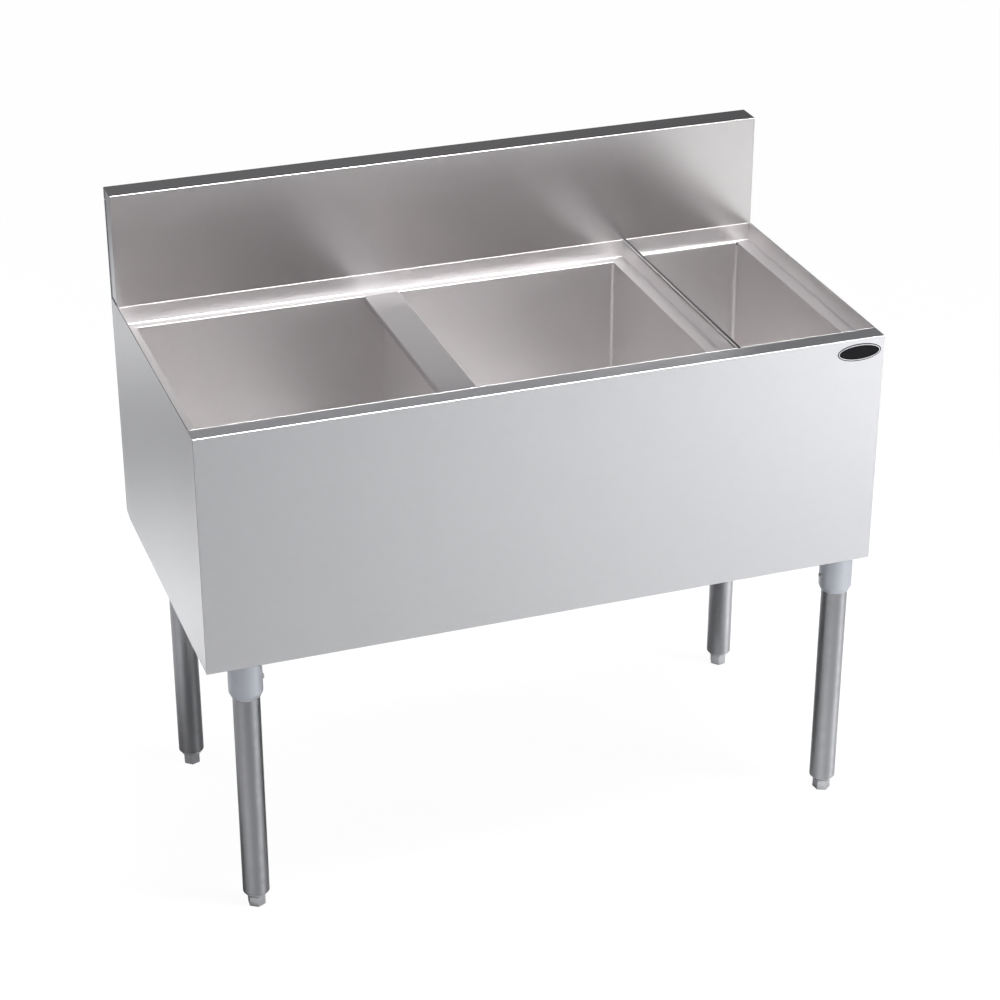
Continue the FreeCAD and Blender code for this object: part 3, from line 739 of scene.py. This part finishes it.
@dataclass(frozen=True)
class CastMetal(Finish):
    """A tumbled casting with fine pores."""

    pore: float = 0.0016
    metallic: float = 0.85

    def channels(self, nodes: Nodes, place: Socket) -> Values:
        """Pores give the relief, and broad smudges vary the tone and the gloss."""
        pores = Speckle.use(nodes, Position=place, Size=self.pore)
        smudge = Smudges.use(nodes, Position=place, Size=0.03, Cover=0.5)[0]
        return {
            "Base Color": nodes.blend(smudge, self.shade(1.0), self.shade(0.88)),
            "Roughness": nodes.math("MULTIPLY_ADD", smudge, 0.08, self.roughness),
            "Normal": nodes.bump(0.12, 0.0002, pores["Pit"]),
            "Metallic": self.metallic,
        }


@dataclass(frozen=True)
class Galvanised(Finish):
    """Zinc-coated sheet or hardware, with its spangle."""

    spangle: float = 0.009

    def channels(self, nodes: Nodes, place: Socket) -> Values:
        """Each crystal has its own tone and gloss."""
        cell = Speckle.use(nodes, Position=place, Size=self.spangle)["Cell"]
        smudge = Smudges.use(nodes, Position=place, Size=0.12, Cover=0.6)[0]
        tone = nodes.blend(cell, self.shade(0.85), self.shade(1.12))
        return {
            "Base Color": nodes.blend(nodes.math("MULTIPLY", smudge, 0.5), tone, self.shade(0.75)),
            "Roughness": nodes.math("MULTIPLY_ADD", cell, 0.14, self.roughness),
            "Metallic": 0.95,
        }


@dataclass(frozen=True)
class Dull(Finish):
    """A non-metal with a mottled colour and a fine relief, such as rubber, foam or enamel."""

    grain_size: float = 0.002
    relief: float = 0.3
    variation: float = 0.2
    specular: float = 0.5

    def channels(self, nodes: Nodes, place: Socket) -> Values:
        """A speckle gives the relief, and smudges vary the colour and gloss."""
        speck = Speckle.use(nodes, Position=place, Size=self.grain_size)
        smudge = Smudges.use(nodes, Position=place, Size=0.05, Cover=0.6)[0]
        return {
            "Base Color": nodes.blend(smudge, self.shade(1.0), self.shade(1.0 - self.variation)),
            "Roughness": nodes.math("MULTIPLY_ADD", smudge, 0.1, self.roughness),
            "Normal": nodes.bump(self.relief, 0.0003, speck["Pit"]),
            "Specular IOR Level": self.specular,
        }


STEEL = (0.735, 0.74, 0.754)
BODY_STEEL = BrushedSteel("body_steel", "stainless_body", STEEL, 0.30, contrast=0.6, relief=0.02)
SIDE_STEEL = BrushedSteel("side_steel", "stainless_body", STEEL, 0.22, Grain.ALONG_Y)
# the backsplash is the body's stainless with a darker base colour: painted shade for the darker surroundings
# its face reflects
SPLASH_SHADED_STEEL = BrushedSteel("splash_steel_painted_shade", "stainless_body", (0.585, 0.57, 0.565), 0.27,
                            contrast=0.7, relief=0.004, smudge=0.01)
LINER_STEEL = BrushedSteel("liner_steel", "stainless_liner", (0.75, 0.73, 0.73), 0.36, Grain.RANDOM,
                           relief=0.015, wear_and_sheen=0.0)
BAR_STEEL = BrushedSteel("bar_steel", "stainless_liner", (0.50, 0.49, 0.50), 0.30, Grain.ALONG_Y)
# the legs' steel has a darker base colour, painted shade, and its wear and polish settings brighten the
# painted highlight bands
LEG_PAINTED_STEEL = BrushedSteel("drawn_tube_painted_sheen", "leg_steel", (0.33, 0.333, 0.345), 0.24, Grain.ALONG_Z,
                         wear_and_sheen=1.0, polish_and_sheen=2.0)
FOOT_STEEL = BrushedSteel("foot_steel", "leg_steel", (0.64, 0.645, 0.66), 0.30, Grain.ALONG_Z, wear_and_sheen=0.2)
# the divider cap's steel is painted near-black: painted shade of the dark strip along its top
DIVIDER_PAINTED_SHADE = BrushedSteel("divider_painted_shade", "stainless_liner", (0.03, 0.03, 0.032), 0.34, Grain.ALONG_Y)
# a brighter copy of the body's stainless for the cap's rolled edge: painted highlight
TRIM_PAINTED_HIGHLIGHT = BrushedSteel("trim_painted_highlight", "stainless_body", (0.82, 0.82, 0.83), 0.28, Grain.ALONG_Y)
PLATE_RIM = BrushedSteel("plate_rim", "nameplate", (0.90, 0.90, 0.91), 0.35, Grain.RANDOM)
DRAIN_STEEL = BrushedSteel("drain_steel", "drain_metal", (0.55, 0.55, 0.55), 0.24, Grain.RANDOM, relief=0.05)
SOCKET_CASTING = CastMetal("socket_casting", "cast_socket", (0.57, 0.595, 0.64), 0.44)
GALVANISED = Galvanised("galvanised_sheet", "galvanised", (0.46, 0.47, 0.49), 0.38)
ZINC = Galvanised("zinc_hardware", "zinc", (0.55, 0.55, 0.53), 0.30, 0.002)
RUBBER = Dull("gasket_rubber", "rubber", (0.03, 0.03, 0.03), 0.7)
FOAM = Dull("rigid_foam", "insulation", (0.72, 0.62, 0.40), 0.9, 0.003, 0.6)
ENAMEL = Dull("plate_enamel", "nameplate", (0.006, 0.006, 0.008), 0.3, 0.001, 0.02, 0.2, 0.12)
# near-black strips that paint the shadow in the apron's end joints
PAINTED_JOINT_SHADOW = Dull("painted_joint_shadow", "rubber", (0.035, 0.035, 0.04), 0.6, 0.001, 0.1, 0.2, 0.2)


# ---- sub-assemblies ----------------------------------------------------------------------------------------
@dataclass
class SubAssembly(ABC):
    """A group of pieces that are made and dressed together."""

    def add(self, name: str, shell: Shell, finish: Finish, nodes: Sequence[str] = (), body: str = "frame",
            edge: float = 0.0) -> None:
        """Makes one piece, dresses it and puts it on its body.

        Args:
            name: The piece's name.
            shell: Its surface.
            finish: Its finish.
            nodes: The CAD nodes that it stands for.
            body: The body it rides on.
            edge: Width of the bevel on its cut edges.
        """
        piece = make_object(name, shell, finish.material(), edge)
        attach(piece, body)
        if nodes:
            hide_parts(*nodes)
        LOG.info("%s: %d points on %s", name, len(shell.points), body)

    def dress(self, finish: Finish, *nodes: str) -> None:
        """Gives a finish to CAD nodes that stay as they are."""
        for name in nodes:
            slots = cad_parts[name].data.materials
            slots.clear()
            slots.append(finish.material())
            LOG.info("%s: dressed in %s", name, finish.name)

    @abstractmethod
    def build(self) -> None:
        """Makes the sub-assembly's pieces."""


@dataclass
class Apron(SubAssembly):
    """The front sheet: bottom flange, face, top return and the lip into the recess.

    Attributes:
        strikes: Inside radius at each corner of the section.
        seam_back, seam_short: How far the dark strip at each end seam, a painted shadow of the joint, reaches
            behind the sheet, and stops short of its edges.
    """

    flange: float = 0.008
    lip: float = 0.014
    strikes: Sequence[float] = (0.0, -0.0008, 0.0, 0.0008, 0.0)
    seam_width: float = 0.0014
    seam_back: float = 0.0012
    seam_short: float = 0.004
    seam_round: float = 0.0004

    def build(self) -> None:
        """Folds the sheet in the plane across its length and carries it from end to end."""
        low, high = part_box("front_apron")
        path = [
            (high.y, high.z - self.lip), (high.y, high.z), (low.y, high.z),
            (low.y, low.z), (low.y + self.flange, low.z),
        ]
        sheet = Folded(path, Plane.YZ, low.x, high.x, inside=self.strikes, stations=9)
        self.add("apron_sheet", sheet.shell(), BODY_STEEL, ["front_apron"], edge=CUT_EDGE)
        # a near-black strip at each end of the apron: painted shadow of its joint with the side panel
        depth = (low.y + SHEET + GAP, low.y + SHEET + self.seam_back)
        height = (low.z + self.seam_short, high.z - self.seam_short)
        for side, x in (("left", low.x), ("right", high.x - self.seam_width)):
            seam = block((x, x + self.seam_width), depth, height, self.seam_round)
            self.add(f"apron_seam_shadow_{side}", seam, PAINTED_JOINT_SHADOW)


@dataclass
class SidePanels(SubAssembly):
    """The two side sheets, each with inward flanges front and back and a clipped lower back corner.

    Attributes:
        clip, rise: Length and height of the cut at the lower back corner, and at the front one.
        short: How far the bottom flange stops short of the front and of the back.
    """

    flange: float = 0.016
    bottom_flange: float = 0.012
    clip: Pair = (0.022, 0.006)
    rise: Pair = (0.010, 0.0026)
    short: Pair = (0.012, 0.026)

    def build(self) -> None:
        """Folds each side in plan and carries it upwards; its ends follow the rim's step and the clip."""
        rim_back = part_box("front_apron")[1].y
        for side, sign in (("left", 1), ("right", -1)):
            low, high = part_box(f"side_panel_{side}")
            x = low.x if sign > 0 else high.x

            def bottom(section: Array) -> Array:
                """Height of the lower edge, which climbs over the clip at the back and rises at the front."""
                back = np.clip((section[:, 1] - (high.y - self.clip[0])) / self.clip[0], 0, 1)
                front = section[:, 1] < low.y + self.rise[0] / 2
                return low.z + self.clip[1] * back + np.where(front, self.rise[1], 0.0)

            def top(section: Array) -> Array:
                """Height of the upper edge, lower where the rim covers it."""
                return np.where(section[:, 1] < rim_back + GAP / 2, high.z - SHEET - GAP, high.z)

            turn, step = low.y + self.rise[0], high.y - self.clip[0]
            stops = [low.y, turn, turn + GAP, rim_back, rim_back + GAP, step, high.y]
            inner = x + sign * self.flange
            path = [(inner, low.y), *[(x, y) for y in stops], (inner, high.y)]
            inside = [BEND if i in (1, len(stops)) else 0 for i in range(len(path))]
            sheet = Folded(path[::-sign], Plane.XY, bottom, top, inside=inside)
            ends = sorted((x + sign * SHEET / 2, x + sign * self.bottom_flange))
            run = (low.y + self.short[0], high.y - self.short[1])
            shell = sheet.shell().joined(block(tuple(ends), run, (low.z, low.z + SHEET)))
            self.add(f"side_sheet_{side}", shell, SIDE_STEEL, [f"side_panel_{side}"], edge=CUT_EDGE)


@dataclass
class Backsplash(SubAssembly):
    """The tall back sheet, its end caps, the stiffener behind it and the rear panel with its screws.

    Attributes:
        lap, rear: How far the sheet reaches below the rim, and below its top at the back.
        strike: Inside radius of the sheet's folds.
    """

    lap: float = 0.028
    rear: float = 0.020
    cap_flange: float = 0.014
    strike: float = 0.0

    def build(self) -> None:
        """Folds the sheet across its length, and each end cap in plan."""
        low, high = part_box("backsplash")
        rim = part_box("front_apron")[1].z
        path = [(high.y, high.z - self.rear), (high.y, high.z), (low.y, high.z), (low.y, rim - self.lap)]
        sheet = Folded(path, Plane.YZ, low.x, high.x, inside=self.strike, stations=9)
        self.add("splash_sheet", sheet.shell(), SPLASH_SHADED_STEEL, ["backsplash"], edge=CUT_EDGE)
        for side, sign in (("left", 1), ("right", -1)):
            low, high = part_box(f"splash_end_cap_{side}")
            x = low.x if sign > 0 else high.x
            inner = x + sign * self.cap_flange
            plan = [(inner, low.y), (x, low.y), (x, high.y), (inner, high.y)]
            cap = Folded(plan[::-sign], Plane.XY, low.z, high.z)
            self.add(f"splash_cap_{side}", cap.shell(), SIDE_STEEL, [f"splash_end_cap_{side}"], edge=CUT_EDGE)
        self.dress(GALVANISED, "rear_panel", "splash_stiffener")
        self.dress(ZINC, "rear_panel_screws")


@dataclass
class IceBins(SubAssembly):
    """The wide tub of both ice bins, the cap over the wall beside the well, and the tee between the bins.

    Attributes:
        cap_top, rolled: Width of the cap, and of the rolled edge at its left.
        cap_leg, cap_drop: How far the rolled edge and the cap turn down.
        cap_over, cap_seam, cap_strike: The cap's height over the rim, its seam, and its fold's radius.
        bar_lip, web_foot: Depth of the bar's turned edges, and of the gap below the web.
    """

    side_ledge: float = 0.0243
    back_ledge: float = 0.0196
    wall_ledge: float = 0.0232
    cap_top: float = 0.0064
    rolled: float = 0.0019
    cap_leg: float = 0.004
    cap_drop: float = 0.008
    cap_over: float = 0.0003
    cap_seam: float = 0.0002
    cap_strike: float = 0.0006
    bar_lip: float = 0.010
    web_foot: float = 0.006

    def build(self) -> None:
        """Makes the tub, the cap and the tee."""
        low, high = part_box("ice_bin_liner")
        apron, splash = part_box("front_apron")[0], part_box("backsplash")[0]
        rim, ledge = high.z, high.z - RECESS
        wall = high.x - self.cap_top
        mouth_x = (apron.x + self.side_ledge, wall - self.wall_ledge)
        mouth_y = (apron.y + FRONT_LEDGE, splash.y - self.back_ledge)
        floor = low.z + SHEET + Tub.fall
        tub = Tub((low.x, wall + SHEET), (low.y, high.y), mouth_x, mouth_y, rim, ledge, floor)
        self.add("ice_bin_tub", tub.shell(), LINER_STEEL, ["ice_bin_liner"], edge=TUB_EDGE)
        self._cap(wall, high.x, (low.y, high.y), rim)
        self._tee(mouth_y, ledge, tub.mouth)
        self.dress(FOAM, "ice_bin_foam")

    def _cap(self, left: float, right: float, run: Pair, rim: float) -> None:
        """Folds the cap over the wall's top: its rolled left edge, in a brighter painted highlight, and its
        flat right part, in near-black painted shade.
        """
        seam, top = left + self.rolled, rim + self.cap_over
        edge = Folded([(seam, rim), (left, rim), (left, rim - self.cap_leg)], Plane.XZ, *run)
        self.add("divider_rolled_edge", edge.shell(), TRIM_PAINTED_HIGHLIGHT)
        path = [(right, rim - self.cap_drop), (right, top), (seam + self.cap_seam, top)]
        flat = Folded(path, Plane.XZ, *run, inside=[0, self.cap_strike, 0])
        self.add("divider_cap", flat.shell(), DIVIDER_PAINTED_SHADE)

    def _tee(self, mouth: Pair, ledge: float, fold: float) -> None:
        """Makes the flat bar, which laps over the mouth's fold, and the double web below it."""
        left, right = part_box("bin_divider_left_angle")[0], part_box("bin_divider_right_angle")[1]
        lower = ledge - self.bar_lip
        path = [(right.x, lower), (right.x, ledge), (left.x, ledge), (left.x, lower)]
        bar = Folded(path, Plane.XZ, mouth[0] - fold, mouth[1] + fold)
        self.add("divider_bar", bar.shell(), BAR_STEEL, ["bin_divider_left_angle"])
        face = (left.x + right.x) / 2 - SHEET
        web = [(face, ledge - SHEET - GAP), (face, left.z + self.web_foot)]
        plate = Folded(web, Plane.XZ, *mouth, thickness=2 * SHEET)
        self.add("divider_web", plate.shell(), LINER_STEEL, ["bin_divider_right_angle"])


@dataclass
class BottleWell(SubAssembly):
    """The narrow tub at the right, with the relief hole at its back corner.

    Attributes:
        hole_in: How far in from the mouth's corner the hole is.
        hole_shade_plug: A dark plug that paints the shade inside the hole: radius and height over the ledge,
            one row a point.
    """

    side_ledge: float = 0.0255
    back_ledge: float = 0.0086
    width: float = 0.1928
    hole_in: float = 0.0004
    hole_shade_plug: Sequence[Pair] = ((0.0019, -0.004), (0.0019, 0.0002), (0.0004, 0.0003))

    def build(self) -> None:
        """Makes the tub, and paints the relief hole's shade with a dark plug."""
        low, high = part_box("bottle_well_liner")
        apron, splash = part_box("front_apron"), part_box("backsplash")[0]
        right, back = apron[1].x - self.side_ledge, splash.y - self.back_ledge
        mouth_x, mouth_y = (right - self.width, right), (apron[0].y + FRONT_LEDGE, back)
        ledge, floor = high.z - RECESS, low.z + SHEET + Tub.fall
        tub = Tub((low.x, high.x), (low.y, high.y), mouth_x, mouth_y, high.z, ledge, floor)
        self.add("bottle_well_tub", tub.shell(), LINER_STEEL, ["bottle_well_liner"], edge=TUB_EDGE)
        # painted shade: a near-black rubber plug stands where the hole's shaded inside would show
        hole_shade_plug = turned(np.array(self.hole_shade_plug) + (0.0, ledge), (right - self.hole_in, back - self.hole_in), 20,
                      capped=True)
        self.add("relief_hole", hole_shade_plug, RUBBER)
        self.dress(FOAM, "bottle_well_foam")


@dataclass
class Drains(SubAssembly):
    """The drain of each compartment: flanged pipe, strainer, gasket and locknut."""

    def build(self) -> None:
        """Dresses the turned parts."""
        for name in ("left_bin", "right_bin", "bottle_well"):
            self.dress(DRAIN_STEEL, f"drain_nipple_{name}", f"drain_strainer_{name}")
            self.dress(ZINC, f"drain_locknut_{name}")
            self.dress(RUBBER, f"drain_gasket_{name}")


@dataclass
class Legs(SubAssembly):
    """The four sockets, tubes and screw feet.

    Attributes:
        collar_taper, collar_up: Height of the collar's tapered end, and how far it ends over its node's box.
        plate: Thickness of a socket's plate.
        thread, pitch: Depth and pitch of the stems' thread.
        painted_bands: Place, width and height of each painted highlight band, in degrees.
        turns: Each foot's turn in degrees.
    """

    tube_radius: float = 0.02065
    wall: float = 0.0015
    collar_radius: float = 0.026
    collar_taper: float = 0.0085
    collar_up: float = 0.003
    plate: float = 0.003
    hex_flats: float = 0.0248
    hex_height: float = 0.016
    stem_radius: float = 0.008
    thread: float = 0.0010
    pitch: float = 0.002
    painted_bands: Sequence[Triple] = ((-126.0, 16.0, 0.42), (-71.0, 13.0, 1.0))
    turns: dict[str, float] = field(default_factory=lambda: {
        "front_left": 26.5, "front_right": 38.5, "back_left": 20.5, "back_right": 12.0})

    def build(self) -> None:
        """Makes each leg's pieces."""
        for name, turn in self.turns.items():
            low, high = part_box(f"leg_tube_{name}")
            centre = ((low.x + high.x) / 2, (low.y + high.y) / 2)
            self._socket(name, centre)
            self._tube(name, centre, low.z, high.z)
            self._foot(name, centre, math.radians(turn), low.z)
            self.dress(ZINC, f"leg_insert_{name}")
        self.dress(ZINC, "leg_set_screws", "socket_bolts", "socket_nuts")

    def _socket(self, name: str, centre: Pair) -> None:
        """Makes the plate, and the collar with its tapered end, turned about the leg's axis."""
        low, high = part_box(f"leg_socket_{name}")
        low = low + Vector((0, 0, self.collar_up))
        plate = block((low.x, high.x), (low.y, high.y), (high.z - self.plate, high.z), radius=0.006, steps=5)
        top, bore = high.z - self.plate + 0.0005, self.tube_radius + 0.0002
        corners = np.array([
            (bore, top), (self.collar_radius + 0.004, top), (self.collar_radius, top - 0.005),
            (self.collar_radius, low.z + self.collar_taper), (self.tube_radius + 0.0016, low.z),
            (bore, low.z),
        ])
        profile, mask = rounded(corners, np.array([0, 0.0004, 0.004, 0.0015, 0.0006, 0.0003]), 5, closed=True)
        collar = turned(profile[::-1], centre, 72, mask[::-1])
        self.add(f"socket_{name}", plate.joined(collar), SOCKET_CASTING, [f"leg_socket_{name}"])

    def _painted_bands(self) -> Array:
        """Painted highlight bands along a drawn tube, at fixed angles round it.

        Each half of the tube has a bell curve h exp(-((a - place) / width)^2) for each band.

        Returns:
            From 0 between the bands to 1 in the middle of the brightest, one value a step round the tube.
        """
        total = np.zeros(AROUND)
        for place, width, height in self.painted_bands:
            away = (steps_round(AROUND) - math.radians(place) + math.pi / 2) % math.pi - math.pi / 2
            total += height * np.exp(-(away / math.radians(width)) ** 2)
        return np.clip(total, 0, 1)

    def _tube(self, name: str, centre: Pair, low: float, high: float) -> None:
        """Makes the tube from low to high, with its edges rounded and its painted highlight bands."""
        inner = self.tube_radius - self.wall
        corners = np.array([(inner, high), (self.tube_radius, high), (self.tube_radius, low), (inner, low)])
        profile, _ = rounded(corners, np.array([0, 0.0002, 0.0003, 0.0002]), 4, closed=True)
        # the tube's bend values carry the painted highlight bands, not bends
        shell = turned(profile[::-1], centre, AROUND, np.tile(self._painted_bands(), (len(profile), 1)))
        self.add(f"tube_{name}", shell, LEG_PAINTED_STEEL, [f"leg_tube_{name}"])

    def _foot(self, name: str, centre: Pair, turn: float, tube_end: float) -> None:
        """The foot: a hexagon that runs into a cone, and a threaded stem.

        Up to the hexagon's top the radius at angle a is flats / 2 / cos(a folded into 30 degrees), then the
        cone's. The stem's radius is the thread's saw-tooth of height and angle.

        Args:
            name: Which foot.
            centre: The leg's axis.
            turn: The hexagon's turn.
            tube_end: Height of the tube's lower end.
        """
        low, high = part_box(f"foot_{name}")
        angle = turn + steps_round(AROUND)
        folded = (angle - turn + 1e-9) % (math.pi / 3) - math.pi / 6
        hexagon = self.hex_flats / 2 / np.cos(folded)
        top, hex_top = tube_end - 0.0003, low.z + self.hex_height
        rows = [
            (0.0100, low.z), (hexagon - 0.0006, low.z + 0.00005), (hexagon - 0.0001, low.z + 0.0003),
            (hexagon, low.z + 0.0008), (hexagon, hex_top - 0.0006), (hexagon - 0.0002, hex_top),
            (self.tube_radius - 0.0008, top - 0.0008), (self.tube_radius - 0.0003, top - 0.0002),
            (self.tube_radius - 0.0004, top), (self.stem_radius, top),
        ]
        heights = np.arange(top + 0.0002, high.z - 0.001, self.pitch / 8)
        phase = (heights[:, None] / self.pitch - angle[None, :] / (2 * math.pi)) % 1.0
        saw = self.stem_radius - self.thread * np.abs(2 * phase - 1)
        rows += [*zip(saw, heights), (self.stem_radius - 0.0016, high.z)]
        radius = np.array([np.broadcast_to(r, AROUND) for r, _ in rows])
        grid = revolved(radius, np.array([z for _, z in rows])[:, None], angle, centre)
        bend = np.zeros(grid.shape[:2])
        bend[[2, 5]] = 1.0
        self.add(f"screw_foot_{name}", tube_grid(grid, bend, capped=True), FOOT_STEEL, [f"foot_{name}"],
                 body=f"foot_{name}")


@dataclass
class Undercarriage(SubAssembly):
    """The bottom pan, the leg channels and the rails that tie them."""

    def build(self) -> None:
        """Dresses the folded parts under the body."""
        self.dress(GALVANISED, "bottom_pan", "leg_channel_left", "leg_channel_right",
                   "cross_rail_front", "cross_rail_back")


@dataclass
class Nameplate(SubAssembly):
    """A blank oval plate: a dark crowned field with a bright ring just inside its edge.

    Attributes:
        crown, ring: Sections from the back edge inwards, as shares of the half-widths and the thickness.
    """

    crown: Sequence[Pair] = ((1.0, 0.0), (1.0, 0.45), (0.98, 0.62), (0.93, 0.66), (0.6, 0.76), (0.2, 0.80))
    ring: Sequence[Pair] = (
        (0.885, 0.62), (0.885, 0.96), (0.88, 1.0), (0.81, 1.0), (0.805, 0.96), (0.805, 0.62))

    def build(self) -> None:
        """Makes the field and the ring."""
        self.add("plate_field", self._oval(self.crown), ENAMEL, ["nameplate"])
        self.add("plate_rim", self._oval(self.ring), PLATE_RIM)

    def _oval(self, section: Sequence[Pair]) -> Shell:
        """Carries a section round an oval in the apron's plane.

        A ring at share s is the oval ((a - m) cos t, (b - m) sin t), where m is 1 - s times the smaller half.
        """
        low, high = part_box("nameplate")
        angle = steps_round(AROUND)[None, :]
        half_x, half_z = (high.x - low.x) / 2, (high.z - low.z) / 2
        share, depth = np.array(section).T[:, :, None]
        shrink = min(half_x, half_z) * (1 - share)
        grid = np.stack([
            (low.x + high.x) / 2 + np.maximum(half_x - shrink, 0.001) * np.cos(angle),
            high.y - (high.y - low.y) * depth + 0 * angle,
            (low.z + high.z) / 2 + np.maximum(half_z - shrink, 0.001) * np.sin(angle),
        ], axis=2)
        return tube_grid(grid, None, capped=True)


# ---- studio ------------------------------------------------------------------------------------------------
@dataclass(frozen=True)
class Softbox:
    """A square area light.

    Attributes:
        target: What it points at.
        size, power: Its side, and its power in watts.
        spread: Opening angle of its honeycomb, in degrees.
    """

    name: str
    place: Triple
    target: Triple
    size: float
    power: float
    spread: float

    def build(self) -> None:
        """Hangs the light and turns it to its target."""
        lamp = bpy.data.lights.new(self.name, "AREA")
        lamp.energy, lamp.size, lamp.shape = self.power, self.size, "SQUARE"
        lamp.spread = math.radians(self.spread)
        light = bpy.data.objects.new(self.name, lamp)
        light.location = self.place
        light.rotation_euler = (Vector(self.target) - Vector(self.place)).to_track_quat("-Z", "Y").to_euler()
        bpy.context.scene.collection.objects.link(light)


@dataclass
class Studio:
    """The floor, the light and the camera.

    Attributes:
        eye, look, lens: The camera's place, direction and focal length in millimetres.
        shadow_place, shadow_scale: Mapping of the painted shadow, a darker oval of floor under the unit.
        shadow_reach, shadow_depth: Where the painted shadow starts and stops fading, and how dark it is.
        floor_glow, glow: How far the floor shines by itself for the camera, and how brightly.
        ahead, behind: The surroundings' tones to the left and the right, in front and behind.
    """

    eye: Triple = (-1.2247, -3.4871, 2.4326)
    look: Triple = (0.2967, 0.8356, -0.4622)
    lens: float = 94.58
    floor_size: float = 14.0
    floor_tones: tuple[Color, Color] = ((0.53, 0.53, 0.535, 1.0), (0.57, 0.57, 0.57, 1.0))
    shadow_place: Triple = (0.10, 0.42, 0.0)
    shadow_scale: Triple = (0.95, 1.0, 0.0)
    shadow_reach: Pair = (0.25, 1.15)
    shadow_depth: float = 0.56
    floor_glow: float = 0.86
    glow: float = 1.11
    ahead: tuple[Color, Color] = ((0.78, 0.78, 0.80, 1.0), (0.88, 0.88, 0.90, 1.0))
    behind: tuple[Color, Color] = ((0.19, 0.19, 0.20, 1.0), (0.04, 0.04, 0.045, 1.0))
    overhead: Color = (0.40, 0.40, 0.41, 1.0)
    softboxes: Sequence[Softbox] = (
        Softbox("top_softbox", (0.45, -0.30, 3.0), (0.1, 0.0, 0.6), 1.5, 20.0, 42.0),
        Softbox("right_softbox", (2.9, -2.3, 1.7), (1.3, -1.6, 0.0), 1.1, 51.0, 105.0),
        Softbox("left_softbox", (-1.0, 0.85, 1.1), (-0.8, 0.85, 0.0), 0.5, 1.35, 82.0),
        Softbox("far_left_softbox", (-1.1, 2.05, 1.0), (-1.1, 2.05, 0.0), 0.5, 2.0, 75.0),
    )

    def build(self) -> None:
        """Sets up all three."""
        self._camera()
        self._floor()
        self._world()
        for softbox in self.softboxes:
            softbox.build()

    def _camera(self) -> None:
        """Places the camera and makes it the scene's."""
        camera = bpy.data.objects.new("camera", bpy.data.cameras.new("camera"))
        camera.data.lens, camera.data.sensor_width, camera.data.sensor_fit = self.lens, 36.0, "HORIZONTAL"
        camera.data.clip_end = 60.0
        camera.location = self.eye
        camera.rotation_euler = Vector(self.look).to_track_quat("-Z", "Y").to_euler()
        bpy.context.scene.collection.objects.link(camera)
        bpy.context.scene.camera = camera

    def _floor(self) -> None:
        """Lays a pale, faintly mottled floor that glows for the camera, with a painted shadow that darkens it
        under the unit.
        """
        line = np.linspace(-self.floor_size / 2, self.floor_size / 2, 9)
        grid = np.stack(np.meshgrid(line, line, [0.0], indexing="ij"), axis=-1)
        mesh = bpy.data.meshes.new("floor")
        mesh.from_pydata(grid.reshape(-1, 3).tolist(), [], grid_faces(9, 9)[:, ::-1].tolist())
        floor = bpy.data.objects.new("floor", mesh)
        bpy.context.scene.collection.objects.link(floor)
        material = bpy.data.materials.new("studio_floor")
        material.use_nodes = True
        nodes = Nodes(material.node_tree)
        shader, output = (nodes.tree.nodes[name] for name in ("Principled BSDF", "Material Output"))
        noise = nodes.add("ShaderNodeTexNoise", {"Scale": 1.5, "Detail": 2.0})
        tone = nodes.blend(noise.outputs["Fac"], *self.floor_tones)
        # painted shadow: an oval under the unit darkens the floor's colour, seen mostly in reflections and
        # bounced light
        mapping = {"Vector": nodes.add("ShaderNodeTexCoord").outputs["Object"], "Location": self.shadow_place}
        oval = nodes.add("ShaderNodeMapping", {**mapping, "Scale": self.shadow_scale})
        reach = nodes.add("ShaderNodeVectorMath", {0: oval.outputs[0]}, operation="LENGTH").outputs["Value"]
        tone = nodes.blend(nodes.remap(reach, *self.shadow_reach, self.shadow_depth, 0.0), tone, BLACK)
        nodes.feed(shader, {"Base Color": tone, "Roughness": 0.9})
        lit = nodes.add("ShaderNodeEmission", {"Color": WHITE, "Strength": self.glow})
        camera = nodes.add("ShaderNodeLightPath").outputs["Is Camera Ray"]
        seen = nodes.math("MULTIPLY", camera, self.floor_glow)
        mix = nodes.add("ShaderNodeMixShader", {0: seen, 1: shader.outputs[0], 2: lit.outputs[0]})
        nodes.feed(output, {"Surface": mix.outputs[0]})
        mesh.materials.append(material)

    def _world(self) -> None:
        """Lights from all round: bright in front and above, darker behind, plain for the camera."""
        scene = bpy.context.scene
        scene.view_settings.view_transform = "Standard"
        scene.world = bpy.data.worlds.new("studio")
        scene.world.use_nodes = True
        nodes = Nodes(scene.world.node_tree)
        nodes.tree.nodes.clear()
        ray = nodes.add("ShaderNodeTexCoord").outputs["Generated"]
        x, y, z = nodes.add("ShaderNodeSeparateXYZ", {0: ray}).outputs
        ahead = nodes.blend(nodes.remap(x, -0.5, 0.3), *self.ahead)
        behind = nodes.blend(nodes.remap(x, 0.05, 0.50), *self.behind)
        sides = nodes.blend(nodes.remap(y, -0.3, 0.6), ahead, behind)
        tone = nodes.blend(nodes.remap(z, 0.5, 0.8), sides, self.overhead)
        seen = nodes.blend(nodes.add("ShaderNodeLightPath").outputs["Is Camera Ray"], tone, WHITE)
        background = nodes.add("ShaderNodeBackground", {"Color": seen, "Strength": 1.0})
        nodes.add("ShaderNodeOutputWorld", {"Surface": background.outputs[0]})


def main() -> None:
    """Builds the studio and every sub-assembly."""
    logging.basicConfig(level=logging.INFO, format="%(name)s %(message)s")
    Studio().build()
    for part in (Apron, SidePanels, Backsplash, IceBins, BottleWell, Drains, Undercarriage, Legs, Nameplate):
        part().build()


if __name__ == "__main__":
    main()
